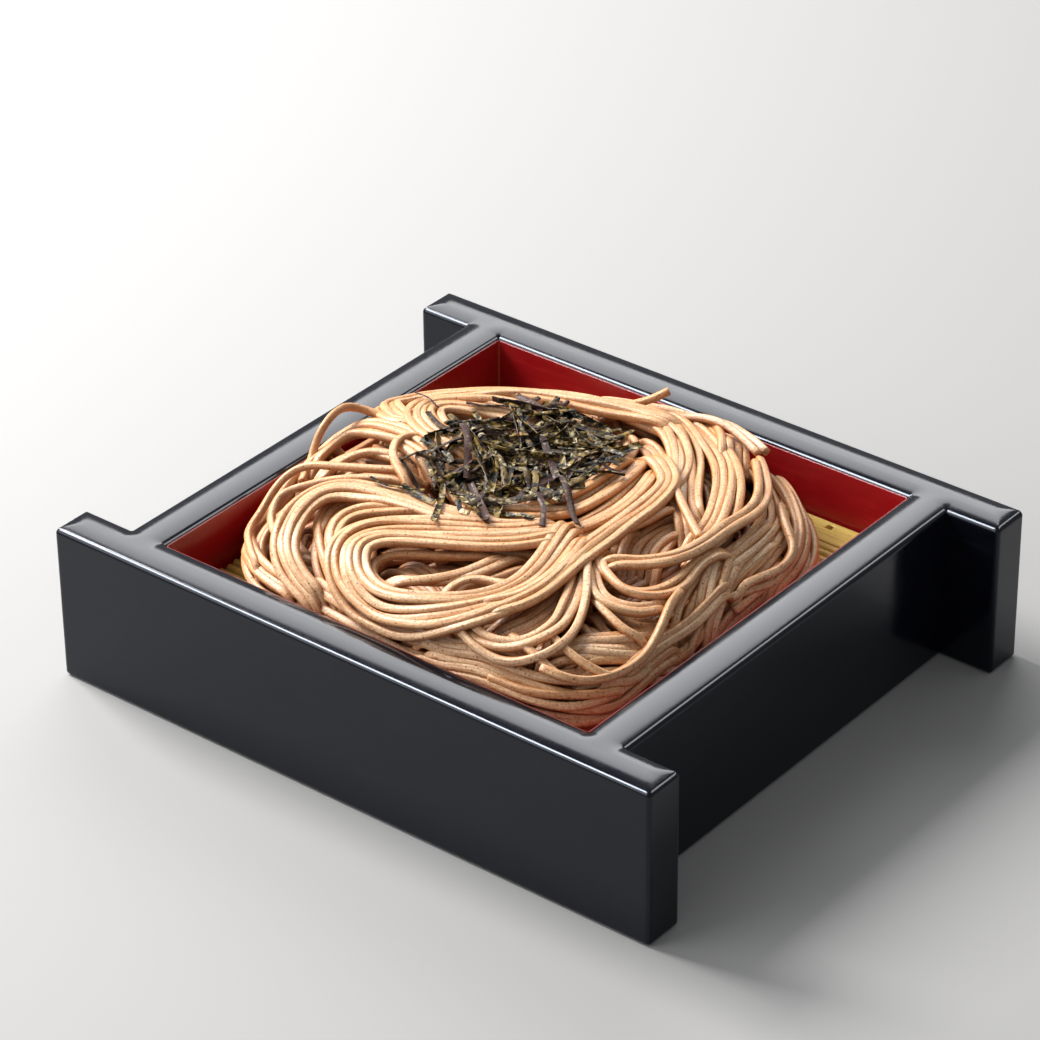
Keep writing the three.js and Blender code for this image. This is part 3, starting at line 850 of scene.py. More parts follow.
@dataclass
class HeightField:
    """Height of what has been laid down so far, over a square grid that starts level."""

    half: float  # half the side of the square
    cell: float
    start: float = 0.0

    def __post_init__(self) -> None:
        """Makes the grid."""
        self.count = int(2 * self.half / self.cell) + 1
        self.top = np.full((self.count, self.count), float(self.start))

    def places(self) -> Array:
        """Plan place of every cell."""
        line = np.arange(self.count) * self.cell - self.half
        return np.stack(np.meshgrid(line, line, indexing="xy"), axis=-1)

    def window(self, plan: Array, radius: float) -> tuple[Array, Array, Array]:
        """Cells under a ball at each place, and the height of the ball's side above them."""
        reach = int(radius / self.cell)
        line = np.arange(-reach, reach + 1)
        dx, dy = (grid.ravel() for grid in np.meshgrid(line, line))
        spread = np.hypot(dx, dy) * self.cell
        inside = spread <= radius
        rise = np.sqrt(np.maximum(radius ** 2 - spread[inside] ** 2, 0))
        middle = np.rint((plan + self.half) / self.cell).astype(int)
        column = np.clip(middle[:, :1] + dx[inside], 0, self.count - 1)
        row = np.clip(middle[:, 1:] + dy[inside], 0, self.count - 1)
        return row, column, rise

    def support(self, plan: Array, radius: float) -> Array:
        """Lowest height of a ball's middle at each place, so that it rests on what is there."""
        row, column, rise = self.window(plan, radius)
        return (self.top[row, column] + rise).max(axis=1)

    def lay(self, path: Array, radius: float) -> None:
        """Adds a strand of that radius along a path."""
        row, column, rise = self.window(path[:, :2], radius)
        np.maximum.at(self.top, (row, column), path[:, 2:] + rise)

    def mark(self, plan: Array, radius: float) -> None:
        """Notes that the places within radius of a line are taken."""
        row, column, _rise = self.window(plan, radius)
        self.top[row, column] = 1.0

    def at(self, plan: Array) -> Array:
        """Height at each place."""
        cell = np.clip(np.rint((plan + self.half) / self.cell).astype(int), 0, self.count - 1)
        return self.top[cell[..., 1], cell[..., 0]]


@dataclass(frozen=True)
class Lock:
    """Noodles that lie side by side, named by where they lie.

    Their depth is how far they lie below the heap's top, in the order that they cross. Their middle line
    goes through the points in plan, then the points given as seen, then onward's, which are in plan again.
    """

    name: str
    strands: int
    depth: float
    plan: Line = ()
    cut: bool = False  # its cut ends show
    seen: Line = ()
    onward: Line = ()


LOCKS = (
    Lock("left crest", 4, 0.3, ((-34, -8),), seen=((405, 440), (385, 433), (360, 431), (340, 438), (301, 470))),
    Lock("left crest low", 2, 1.4, ((-38, -10), (-50, -11), (-58, -13), (-63, -20), (-64, -29))),
    Lock("left sweep", 4, 0.8, ((-77, 22), (-74, 11), (-66, 4), (-55, 0), (-43, -3), (-32, -10))),
    Lock("left shoulder", 4, 0.6, ((-70, 18), (-60, 12), (-50, 6), (-39, 1), (-28, -5))),
    Lock("left fan", 5, 3.0, ((-67, -14), (-61, -17), (-58, -24), (-57, -33))),
    Lock("left stub", 2, 2.0, ((-55, -31), (-54, -23), (-49, -18), (-40, -18))),
    Lock("by the shreds", 1, -0.2, ((-46, 0),), seen=((411, 436), (398, 440), (391, 450), (393, 460), (400, 470),
         (410, 480))),
    Lock("pale fold", 5, -0.2, ((-14, 31), (-30, 30), (-44, 26), (-54, 20), (-56, 13), (-51, 7), (-43, 3.5),
         (-34, 2.5), (-24, 3))),
    Lock("outer sweep", 1, 0.1, ((-34, -16),), seen=((340, 467), (300, 472), (275, 481), (261, 495), (253, 515),
         (249, 535), (252, 553), (260, 573))),
    Lock("thin sweep", 1, 0.5, seen=((400, 480), (370, 478), (345, 478), (320, 481), (300, 487), (284, 495),
         (275, 507), (272, 522), (276, 534), (284, 545)), onward=((-47, -65), (-40, -68))),
    Lock("left bulge", 4, 0.6, ((-75, -6), (-77, -22), (-77, -38), (-73, -52), (-64, -63), (-50, -71), (-30, -75))),
    Lock("left cross", 2, 2.4, seen=((300, 500), (288, 512), (276, 525), (266, 540), (260, 556), (263, 572),
         (278, 588))),
    Lock("left roll", 4, 0.2, ((4, -29),), seen=((430, 510), (400, 499), (370, 491), (345, 487), (322, 491),
         (303, 504), (290, 523), (285, 543), (286, 562), (294, 580), (308, 597), (325, 610))),
    Lock("left curl", 2, 3.0, seen=((326, 533), (310, 530), (302, 538), (300, 552), (310, 562), (325, 562))),
    Lock("between the rolls", 4, 2.0, seen=((362, 502), (345, 503), (334, 512), (327, 527), (325, 545), (328, 563),
         (335, 580), (345, 595)), onward=((-16, -72),)),
    Lock("under the second roll", 4, 3.6, ((-28, -47), (-22, -53), (-27, -62), (-36, -67), (-44, -62))),
    Lock("under the front roll", 5, 3.4, ((-14, -52), (-4, -52), (6, -55), (16, -60))),
    Lock("under the front", 4, 3.6, ((-14, -62), (-4, -60), (8, -62))),
    Lock("second roll", 2, 0.4, ((2, -30),), seen=((430, 514), (395, 509), (365, 509), (347, 514), (337, 524),
         (333, 538), (336, 550), (342, 560))),
    Lock("front roll", 6, -0.4, ((24, -16), (14, -28), (2, -37), (-10, -44), (-21, -51.5), (-24, -60), (-18, -69),
         (-5, -74.5), (9, -74.5), (22, -69.5), (31, -60), (34.5, -48), (33, -35), (30, -24), (27, -14))),
    Lock("roll inner", 1, 1.2, ((12, -36), (0, -44), (-9, -50), (-15, -57), (-13, -64), (-2, -67), (12, -64))),
    Lock("under the shreds", 7, 0.9, ((-44, 16), (-37, 4), (-26, -7), (-12, -13), (0, -9), (6, 2), (7, 16), (2, 29),
         (-8, 38))),
    Lock("under the shreds inner", 7, 1.2, ((-34, 22), (-29, 9), (-18, 1), (-9, 4), (-7, 14), (-13, 24), (-22, 31))),
    Lock("first arc", 1, -0.2, ((13, 27), (13.5, 14), (13.5, 2), (11, -7), (4, -13))),
    Lock("second arc", 2, 0.4, ((15, 34), (18, 20), (19, 6), (17, -6), (9, -13), (-1, -19), (-12, -25))),
    Lock("third arc", 3, 0.8, ((20, 32), (24, 16), (25, 2), (22, -12), (13, -22), (1, -29), (-12, -34))),
    Lock("fourth arc", 3, 1.4, ((24, 36), (29, 18), (30, 2), (28, -12), (20, -23), (8, -32), (-4, -39))),
    Lock("front stub", 2, 1.0, ((16, -34), (14.5, -42), (12, -52), (5, -60), (-6, -66))),
    Lock("front stub single", 1, 1.6, ((28, -34), (23, -33), (20, -38), (17, -46), (12, -55))),
    Lock("roll hook", 2, 0.6, ((31, -45), (25, -49), (18, -52), (15.5, -58), (16, -66))),
    Lock("middle right", 3, -0.4, ((14, 36), (25, 30), (32, 23), (34.5, 10), (35, -4), (36, -18), (37.5, -32),
         (38.5, -46), (36, -58), (28, -66))),
    Lock("front hook", 1, 0.2, ((40, 20),), seen=((598, 545), (590, 560), (585.7, 591), (577, 623), (567, 643),
         (553, 657), (538.6, 665.7), (513, 670), (493, 664), (476, 654), (464, 640), (457, 626), (454, 611))),
    Lock("middle low", 2, 0.4, seen=((586, 552), (578.6, 571), (574, 591), (567, 609), (558.6, 626), (544, 637),
         (527, 645.7), (507, 648.6), (487, 644), (473, 634), (467, 623))),
    Lock("front fan", 5, 1.9, seen=((490, 634), (520, 625), (545, 608), (562, 592), (578, 572))),
    Lock("front fan bright", 2, 1.3, seen=((545, 640), (560, 620), (572, 600), (584, 578), (592, 560))),
    Lock("long single", 1, -0.6, cut=True, seen=((678, 591), (671, 600), (665.7, 617), (658.6, 634), (647, 654),
         (630, 668.6), (607, 678.6), (584, 683), (564, 680), (550, 673), (541, 665))),
    Lock("rim run", 2, 0.6, ((70, 4),), seen=((720, 600), (700, 620), (680, 635), (660, 648), (645, 660), (630, 672),
         (617, 683))),
    Lock("corner low", 4, 0.9, ((14, -77), (24, -77)), seen=((480, 672), (515, 686), (545, 695), (575, 698),
         (605, 697), (622, 692), (640, 676), (658, 660), (676, 645))),
    Lock("corner end", 1, 0.6, cut=True, seen=((493, 681), (507, 687), (524, 694), (553, 698.6), (590, 701),
         (615, 700))),
    Lock("corner loop", 1, 0.8, seen=((590, 680), (600, 688), (612, 693), (625, 694), (637, 688), (645, 677),
         (653, 668))),
    Lock("corner level", 4, 1.7, seen=((570, 648), (600, 650), (625, 652), (645, 648)), onward=((70, -31),)),
    Lock("corner cross", 1, 0.7, seen=((590, 590), (597, 602), (612, 617), (625, 633), (640, 645), (650, 655))),
    Lock("corner under", 1, 0.6, cut=True, seen=((556, 640), (563, 650), (575, 662), (587, 672), (600, 683),
         (611, 692))),
    Lock("u loop", 2, -0.4, ((36, 62), (46, 51), (54, 41), (58, 31), (58.5, 18), (59, 4), (57, -9), (51, -18),
         (44, -24))),
    Lock("u loop low", 2, 0.4, ((39, -17), (42, -25), (49, -29), (57, -30), (62, -24), (63, -13), (61, -2), (63, 10))),
    Lock("u loop single", 1, 1.6, ((47, -25), (53, -26), (58, -22), (60, -12))),
    Lock("u loop outer", 2, 0.5, seen=((590, 560), (593, 575), (597, 590), (605, 600), (620, 607), (640, 611),
         (655, 608), (668, 602))),
    Lock("u loop far", 3, 2.4, ((50, -42), (58, -46), (67, -45), (72, -38), (73, -24))),
    Lock("u loop inner", 3, 2.8, ((50, -33), (57, -36), (63, -32), (67, -22))),
    Lock("right", 4, 1.4, ((63, 34), (64.5, 18), (65, 2), (68, -12), (73, -26))),
    Lock("right edge", 4, 1.6, ((69, 32), (71, 14), (72, -4), (75, -20), (75, -36), (70, -50), (62, -62))),
    Lock("right hollow", 5, 2.2, ((47, 26),), seen=((690, 525), (665, 533), (648, 548), (640, 565))),
    Lock("right hollow low", 2, 2.2, seen=((640, 530), (622, 545), (613, 562))),
    Lock("lower right", 5, 1.7, ((50, -68), (60, -60), (67, -51), (72, -40))),
    Lock("corner stub", 1, 0.5, cut=True, seen=((514, 636), (523, 647), (532, 656), (541, 665), (550, 674),
         (559, 687))),
    Lock("bright stub", 1, -0.2, ((34, 22), (44, 15), (55, 7)), cut=True),
    Lock("back sweep", 4, 0.8, ((-20, 64), (-6, 62), (7, 58), (17, 50), (25, 42), (33, 31), (40, 21), (47, 14))),
    Lock("back sweep outer", 4, 0.6, ((-4, 70), (10, 66), (22, 58), (33, 50), (42, 40), (49, 28), (54, 16), (56, 2))),
    Lock("right sweep", 4, 1.4, ((26, 68), (40, 60), (51, 50), (60, 39), (64, 26), (66, 10))),
    Lock("right shoulder", 5, 0.5, ((38, 68), (50, 61), (60, 53), (68, 45), (73, 36), (75.5, 26), (76, 14))),
    Lock("right curl", 1, 0.2, ((56, 50),), seen=((781, 505), (785, 520), (790, 540), (795, 555), (790, 567),
         (775, 575), (755, 582), (738, 592))),
    Lock("right verticals", 4, 1.2, ((62, 12),), seen=((722, 572), (716, 590), (711, 610), (706, 630), (703, 645))),
    Lock("right descending", 4, 1.6, ((61, 46),), seen=((782, 528), (765, 548), (748, 568), (732, 585), (722, 598))),
    Lock("right stub", 2, 0.7, cut=True, seen=((775, 586), (755, 594), (735, 605))),
    Lock("back edge", 3, 2.0, ((30, 71), (46, 65), (60, 55), (71, 44), (76, 30), (77, 12))),
    Lock("back loop right", 2, 1.2, ((22, 54), (32, 55), (40, 48), (46, 36), (52, 24))),
    Lock("back loop under", 4, 2.6, ((27, 46), (36, 43), (45, 33), (51, 22), (54, 12))),
    Lock("near the shreds", 2, 1.2, ((-4, 46), (3, 42), (8, 32), (11, 21), (12, 10))),
    Lock("near the shreds low", 3, 1.6, ((2, 46), (12, 42), (20, 32), (25, 20), (28, 6), (28, -8))),
    Lock("above the shreds", 3, 0.8, ((-14, 56), (-2, 55), (10, 52), (20, 44), (27, 35), (31, 24))),
    Lock("back hairpin", 4, 0.0, ((8, 57), (-14, 53), (-30, 49), (-45, 42), (-56, 34)), seen=((418, 390), (395, 395),
         (387, 411), (395, 418), (402, 422)), onward=((-50, 16),)),
    Lock("back hairpin inner", 2, 1.2, ((-12, 46), (-28, 42), (-42, 35), (-54, 27), (-62, 20), (-60, 15), (-52, 20),
         (-42, 28))),
    Lock("back outer", 3, 2.6, ((0, 62), (-18, 61), (-34, 58), (-50, 52), (-64, 43), (-73, 33), (-75, 22), (-74, 10))),
    Lock("back loop", 3, 2.0, ((-14, 56), (-20, 60), (-28, 64), (-40, 61), (-52, 54), (-64, 46))),
    Lock("back crest", 4, 0.2, ((-34, 66), (-18, 71), (0, 74), (14, 73), (24, 66), (32, 56))),
    Lock("front edge low", 4, 1.3, seen=((300, 585), (320, 603), (345, 618), (375, 633), (405, 645), (440, 655),
         (470, 660)), onward=((34, -73), (43, -69))),
)


@dataclass(frozen=True)
class LooseNoodle:
    """A noodle that stands off the heap. Its places are given in plan, with their heights above the heap's top.

    Where it also loops, the loop's points, as seen in the upright plane at loop_x, come after the first two.
    """

    places: tuple[Triple, ...]
    loop: Line = ()
    loop_x: float = 0.0

    def path(self, shape: HeapShape) -> Array:
        """Its middle line."""
        places = np.array(self.places, float)
        places[:, 2] += shape.top(places[:, :2])
        if self.loop:
            places = np.vstack([places[:2], VIEW.across(self.loop, self.loop_x), places[2:]])
        return smooth_line(places, FINE)


LOOSE = (
    LooseNoodle(((-70, -30, -6.5), (-73.5, -22, -3), (-70, 3.5, 1.5), (-64, 4.5, -2.5), (-57, 4, -5.5), (-50, 1, -7)),
                ((315, 446), (323, 428), (335, 413), (349, 407)), -75.0),
    LooseNoodle(((-22, 52, -5), (-12, 58, -2), (-6, 63, 1), (-2, 68, 5))),
    LooseNoodle(((4, 66, -2.5), (11, 68, 0.5), (20, 67.5, 2.5), (29, 65, 2), (37, 62, 1))),
    LooseNoodle(((8, 69, -1), (20, 70, 3), (30, 68, 4), (38, 65, 3.5))),
)


@dataclass
class Strand:
    """One noodle, before and after it is laid down."""

    plan: Array
    sink: Array
    tuck: Array
    layer: float
    width: float
    height: float
    tone: float
    path: Array | None = None


@dataclass
class DirectionField:
    """Which way the noodles run at each place, from the locks that pass near it and the heap's round."""

    rng: Rng
    shape: HeapShape
    locks: list[Lock]
    wander: float  # how far headings stray from the locks', in degrees
    half: float = 84.0
    cell: float = 2.0
    sample: float = 3.0  # spacing of a lock's samples
    spread: float = 8.0  # how far a lock is felt
    round_pull: Pair = (0.05, 0.6)  # round the heap: everywhere, and more at its edge
    edge_power: int = 8
    waves: int = 6
    wavelength: Pair = (35.0, 80.0)
    wave_share: float = 2.4

    def __post_init__(self) -> None:
        """Builds the field. A direction is kept as twice its angle, so that opposite runs agree."""
        self.grid = HeightField(self.half, self.cell)
        places = self.grid.places()
        total = np.zeros(places.shape)
        for lock in self.locks:
            line = smooth_line(lock.plan, self.sample)
            run = unit_rows(np.gradient(line, axis=0))
            double = np.stack([run[:, 0] ** 2 - run[:, 1] ** 2, 2 * run[:, 0] * run[:, 1]], axis=1)
            gap = ((places[:, :, None] - line) ** 2).sum(axis=-1)
            total += np.exp(-gap / (2 * self.spread ** 2)) @ double
        bearing = np.arctan2(places[..., 1], places[..., 0]) + math.pi / 2
        round_heap = np.stack([np.cos(2 * bearing), np.sin(2 * bearing)], axis=-1)
        anywhere, edge = self.round_pull
        total += round_heap * (anywhere + edge * self.shape.reach(places)[..., None] ** self.edge_power)
        stray = np.zeros(places.shape[:2])
        for _ in range(self.waves):
            heading, wavelength = self.rng.uniform(0, TAU), self.rng.uniform(*self.wavelength)
            wave = places[..., 0] * math.cos(heading) + places[..., 1] * math.sin(heading)
            stray += np.sin(TAU * (wave / wavelength + self.rng.random())) / self.wave_share
        self.angle = np.arctan2(total[..., 1], total[..., 0]) / 2 + stray * math.radians(self.wander)

    def heading(self, x: float, y: float) -> float:
        """Heading at a place, in radians."""
        column, row = (min(max(int((value + self.half) / self.cell + 0.5), 0), self.grid.count - 1)
                       for value in (x, y))
        return float(self.angle[row, column])


@dataclass
class StrandMesher:
    """Turns strands that are laid down into meshes, cut square, slowly swelling and twisting."""

    rng: Rng
    shape: HeapShape
    corners: tuple[Line, Line] = (((1.0, 0.5), (0.82, 0.82), (0.5, 1.0)), ((1.0, 0.5), (0.5, 1.0)))
    swell_drift: Drift = Drift(0.03, 26.0)
    twist: float = 0.2
    twist_drift: Drift = Drift(0.35, 90.0)
    end_size: float = 0.86
    nub: float = 0.18  # how far a cut end stands out of its rounding
    underside: Pair = (0.95, 1.3)  # where a strand's own shade starts, and its span
    hollow: Pair = (3.0, 11.0)  # the same for the heap's, in depth below the top
    shades: Pair = (0.8, 0.85)  # the most that each gives

    def _section(self, strand: Strand, along: Array, sides: int) -> Array:
        """The cut-square section of a strand at each place along it, slowly twisting."""
        rng = self.rng
        corner = next(corner for corner in self.corners if 4 * len(corner) == sides)
        ring = np.array(corner)
        for _ in range(3):
            turned = np.column_stack([-ring[-len(corner):, 1], ring[-len(corner):, 0]])
            ring = np.vstack([ring, turned])
        swell = 1 + self.swell_drift.at(rng, along)
        across = (ring[:, 0] * strand.width / 2) * swell[:, None]
        up = (ring[:, 1] * strand.height / 2) * swell[:, None]
        twist = (rng.uniform(-self.twist, self.twist) + self.twist_drift.at(rng, along))[:, None]
        rolled = np.stack([across * np.cos(twist) - up * np.sin(twist),
                           across * np.sin(twist) + up * np.cos(twist)], axis=-1)
        rolled[[0, -1]] *= self.end_size
        return rolled

    def add(self, surface: Surface, strand: Strand, step: float, sides: int) -> None:
        """Adds a strand's mesh to a surface.

        Args:
            surface: The surface.
            strand: The strand.
            step: Spacing of its rings.
            sides: Sides of a ring, 8 or 12.
        """
        softness, shift = 2.0, 50
        path = resampled(strand.path, step)
        nub = unit_rows(np.vstack([path[0] - path[1], path[-1] - path[-2]])) * self.nub
        path = np.vstack([path[0] + nub[0], path, path[-1] + nub[1]])
        slope = self.shape.slope(path[:, :2])
        up = soften(unit_rows(np.column_stack([-slope, np.ones(len(path))])), softness)
        sections = self._section(strand, distances(path), sides)
        points, quads, triangles, lay = swept(path, up, sections)
        lift = np.concatenate([(sections[..., 1] / (strand.height / 2)).ravel(), [0.0, 0.0]])
        # painted shade: a strand's underside and places deep below the heap's top get a shade value, which the finish
        # darkens to a deep brown
        under = smooth((self.underside[0] - lift) / self.underside[1])
        deep = self.shape.top(points[:, :2]) - points[:, 2]
        below = np.clip((deep - self.hollow[0]) / self.hollow[1], 0, 1)
        lay = lay + self.rng.uniform(0, shift, 3)
        shade = 1 - (1 - self.shades[0] * under) * (1 - self.shades[1] * below)
        surface.add(points, quads, triangles, lay, strand.tone, shade)


@dataclass
class NoodleHeap:
    """The heap of noodles: locks of noodles side by side over a bed of evenly spread strands."""

    # a noodle
    width: float = 2.6
    height: float = 2.5
    size_spread: float = 0.035
    squash: Pair = (0.95, 1.05)
    tone: Pair = (0.5, 0.26)  # middle and spread
    pitch: float = 2.5
    firmness: float = 0.84  # share of a noodle's radius that doesn't press into its neighbours
    give: float = 0.25  # how far a noodle sinks into the one that it crosses
    # how far out it lies, as a share of the outline, and how its ends dive under the others
    reach: float = 0.968
    foot_reach: float = 0.982
    tuck_length: float = 12.0
    tuck_depth: float = 5.0  # how far ends dive under the others
    edge_tuck: float = 10.0  # and how much further they do near the heap's foot
    foot_from: float = 0.84
    foot_span: float = 0.1
    sink_drift: Drift = Drift(0.6, 60.0)
    # the locks
    depth_scale: float = 2.8  # from a lock's depth to real depth below the top
    depth_shift: float = 0.3
    swapping: float = 0.6  # share of the locks in which two noodles change places
    swap_place: Pair = (0.25, 0.75)
    swap_length: float = 26.0
    overhang: Pair = (2.0, 9.0)  # of a lock's strands past its ends
    cut_overhang: float = 0.3  # share of that where cut ends show
    lane_drift: Drift = Drift(0.5, 55.0)
    # the core
    core_depth: float = 21.0
    core_inset: float = 0.9
    core_shares: tuple[float, ...] = (1.0, 0.96, 0.9, 0.82, 0.72, 0.6, 0.45, 0.3, 0.15)
    core_sectors: int = 96
    # laying down
    rise_limit: float = 0.9  # how far a crossing lifts a noodle before it presses in
    headroom: float = 0.6  # how far crossings may stand above the heap's top before they press in
    over_limit: float = 0.3  # share of what is left above either
    stretch_limit: float = 1.5  # of a depth, on the heap's steep sides
    seen_lift: float = 0.8  # how far what they cross lifts the noodles that are given as seen
    # the bed
    grid_half: float = 86.0
    grid_cell: float = 0.5
    taken_half: float = 84.0
    seeds_half: float = 80.0
    clearance: float = 0.62  # of a strand's spacing, that others keep from it
    bed: tuple[Triple, ...] = ((16.5, 30.0, 2.8), (12.5, 16.0, 2.8))  # depth, wander and spacing
    bed_layer: float = 8.2  # strands below this depth are in the bed
    top_layer: float = 1.6  # and those above this one on top
    grow_step: float = 1.7
    grow_steps: tuple[int, int] = (16, 46)
    overrun: int = 5  # steps that a growing strand may run over others
    shortest: int = 9
    sharpest: float = 0.16  # turn in a step, in radians
    # the foot
    foot_layer: float = 20.0
    foot_strands: int = 18
    foot_arc: Pair = (70.0, 170.0)
    foot_place: Pair = (0.93, 0.985)
    foot_drift: Drift = Drift(0.8, 60.0)
    foot_depths: tuple[float, ...] = (6.0, 8.4, 10.8, 13.2)
    # the meshes
    fine_mesh: tuple[float, int] = (1.5, 12)  # spacing of the rings and sides of a ring
    plain_mesh: tuple[float, int] = (2.2, 8)  # the same for strands that hardly show
    shape: HeapShape = field(default_factory=HeapShape)
    seed: int = 20

    def __post_init__(self) -> None:
        """Starts with the bare core."""
        self.rng = np.random.default_rng(self.seed)
        self.field = HeightField(self.grid_half, self.grid_cell, self.shape.base)
        places = self.field.places()
        core = self.shape.top(places) - self.core_depth
        inside = self.shape.reach(places) < self.core_inset
        self.field.top[inside] = np.maximum(core[inside], self.shape.base)
        self.strands: list[Strand] = []
        self.locks = [replace(lock, plan=self._plan(lock)) for lock in LOCKS]

    # plan lines

    def _depth(self, lock: Lock) -> float:
        """A lock's depth below the heap's top."""
        return self.depth_scale * (lock.depth + self.depth_shift)

    def _stretch(self, plan: Array) -> Array:
        """How much more a depth measures straight down than square to the heap's surface."""
        return np.minimum(np.sqrt(1 + (self.shape.slope(plan) ** 2).sum(axis=-1)), self.stretch_limit)

    def _natural(self, plan: Array, sink: float | Array, radius: float) -> Array:
        """How high a noodle's middle line is where nothing lifts it, sink below the heap's top."""
        return np.maximum(self.shape.top(plan) - (sink + radius) * self._stretch(plan), self.shape.base + radius)

    def _plan(self, lock: Lock) -> Array:
        """A lock's middle line in plan, with what is given as seen put where it lies."""
        parts = [np.array(part, float) for part in (lock.plan, lock.onward) if part]
        if lock.seen:
            sink, radius = self._depth(lock), (self.width + self.height) / 4
            parts.insert(1 if lock.plan else 0, self.shape.landed(
                lock.seen, lambda plan: self._natural(plan, sink, radius) + self.seen_lift))
        return np.vstack(parts)

    def _beside(self, line: Array, offset: Array) -> Array:
        """A line moved sideways, in steps, by an offset that is measured over the heap's surface."""
        steps, softness = 4, 2.0
        ahead = unit_rows(np.gradient(line, axis=0))
        side = np.stack([-ahead[:, 1], ahead[:, 0]], axis=1)
        moved = line.copy()
        for _ in range(steps):
            steepness = (self.shape.slope(moved) * side).sum(axis=1)
            moved = moved + side * (offset / steps / np.sqrt(1 + steepness ** 2))[:, None]
        return soften(moved, softness)

    def _strand(self, plan: Array, depth: float, layer: float, cut: bool = False) -> Strand:
        """A strand along a plan line, with its own size, tone and tucked ends.

        Args:
            plan: The line.
            depth: Its depth below the heap's top.
            layer: What strands are sorted by, most for the first to be laid.
            cut: Whether its ends show, instead of diving under the others.

        Returns:
            The strand.
        """
        rng, softness = self.rng, 1.5
        plan, moved = self.shape.pulled_in(plan, self.reach if layer < self.foot_layer else self.foot_reach)
        plan = resampled(soften(plan, softness), FINE)
        along = distances(plan)
        moved = np.interp(along, np.linspace(0, along[-1], len(moved)), moved)
        near_end = 1 - smooth(np.minimum(along, along[-1] - along) / self.tuck_length)
        at_foot = smooth((self.shape.reach(plan) - self.foot_from) / self.foot_span)
        tuck = near_end ** 2 * (0.0 if cut else self.tuck_depth + self.edge_tuck * at_foot)
        sink = depth + self.sink_drift.at(rng, along) + moved
        scale = rng.normal(1.0, self.size_spread)
        return Strand(plan, sink, tuck, layer, self.width * scale, self.height * scale * rng.uniform(*self.squash),
                      float(np.clip(rng.normal(*self.tone), 0, 1)))

    def _lock_strands(self, lock: Lock) -> list[Strand]:
        """The strands of a lock, side by side, with some that change places."""
        rng, softness, layer_spread, end = self.rng, 2.0, 0.25, 6
        depth = self._depth(lock)
        line = smooth_line(lock.plan, FINE)
        swaps = np.zeros(lock.strands)
        place = rng.uniform(*self.swap_place) * distances(line)[-1]
        if lock.strands > 1 and rng.random() < self.swapping:
            first = int(rng.integers(0, lock.strands - 1))
            swaps[first], swaps[first + 1] = 1.0, -1.0
        made = []
        for lane, swap in enumerate(swaps):
            before, after = rng.uniform(*self.overhang, size=2) * (self.cut_overhang if lock.cut else 1.0)
            start = line[0] - unit_rows(line[None, end] - line[0])[0] * before
            stop = line[-1] + unit_rows(line[None, -1] - line[-1 - end])[0] * after
            own = soften(resampled(np.vstack([start, line, stop]), FINE), softness)
            along = distances(own)
            lane_place = lane - (lock.strands - 1) / 2 + swap * smooth((along - place) / self.swap_length + 0.5)
            offset = lane_place * self.pitch + self.lane_drift.at(rng, along)
            layer = depth + rng.normal(0, layer_spread)
            made.append(self._strand(self._beside(own, offset), depth, layer, lock.cut))
        return made

    def _filled(self, depth: float, wander: float, spacing: float, taken: HeightField) -> list[Strand]:
        """Evenly spaced strands that follow the locks' run over the whole heap.

        Args:
            depth: Depth of the layer below the heap's top.
            wander: How far headings stray from the locks', in degrees.
            spacing: Distance between neighbours.
            taken: Places already taken, above 0.

        Returns:
            The strands.
        """
        rng, seed_spacing, softness, layer_spread = self.rng, 0.9, 3.0, 0.3
        run = DirectionField(rng, self.shape, self.locks, wander)
        seeds = HeightField(self.seeds_half, spacing * seed_spacing).places().reshape(-1, 2)
        seeds = seeds[self.shape.reach(seeds) < self.reach]
        seeds = seeds + rng.uniform(-1, 1, seeds.shape)
        made = []
        for seed in rng.permutation(seeds):
            if taken.at(seed) > 0:
                continue
            line = self._grown(seed, run, taken)
            if len(line) < self.shortest:
                continue
            taken.mark(line, spacing * self.clearance)
            line = soften(resampled(line, FINE), softness)
            made.append(self._strand(line, depth, depth + rng.normal(0, layer_spread)))
        return made

    def _grown(self, seed: Array, run: DirectionField, taken: HeightField) -> Array:
        """A line grown both ways from a seed until it meets others or the edge."""
        most = int(self.rng.integers(*self.grow_steps))
        halves = []
        for turn in (0.0, math.pi):
            x, y = float(seed[0]), float(seed[1])
            heading = run.heading(x, y) + turn
            points, over = [], 0
            for _ in range(most):
                change = (run.heading(x, y) - heading + math.pi / 2) % math.pi - math.pi / 2
                heading += min(max(change, -self.sharpest), self.sharpest)
                x += self.grow_step * math.cos(heading)
                y += self.grow_step * math.sin(heading)
                place = np.array([x, y])
                if self.shape.reach(place) > self.reach:
                    break
                over = over + 1 if taken.at(place) > 0 else 0
                if over > self.overrun:
                    break
                points.append(place)
            halves.append(points)
        return np.array(halves[1][::-1] + [seed] + halves[0])

    def _foot(self) -> list[Strand]:
        """Strands that run round the foot of the heap."""
        rng, samples, unit = self.rng, 60, 75  # unit: millimetres in a radian of the foot
        made = []
        for number in range(self.foot_strands):
            start, span = rng.uniform(0, 360), rng.uniform(*self.foot_arc)
            bearing = np.radians(np.linspace(start, start + span, samples))
            ways = np.stack([np.cos(bearing), np.sin(bearing)], axis=1)
            radius = self.shape.outline(ways)[1] * rng.uniform(*self.foot_place)
            radius = radius + self.foot_drift.at(rng, bearing * unit)
            depth = self.foot_depths[number % len(self.foot_depths)]
            made.append(self._strand(resampled(ways * radius[:, None], FINE), depth, self.foot_layer + depth))
        return made

    # laying down

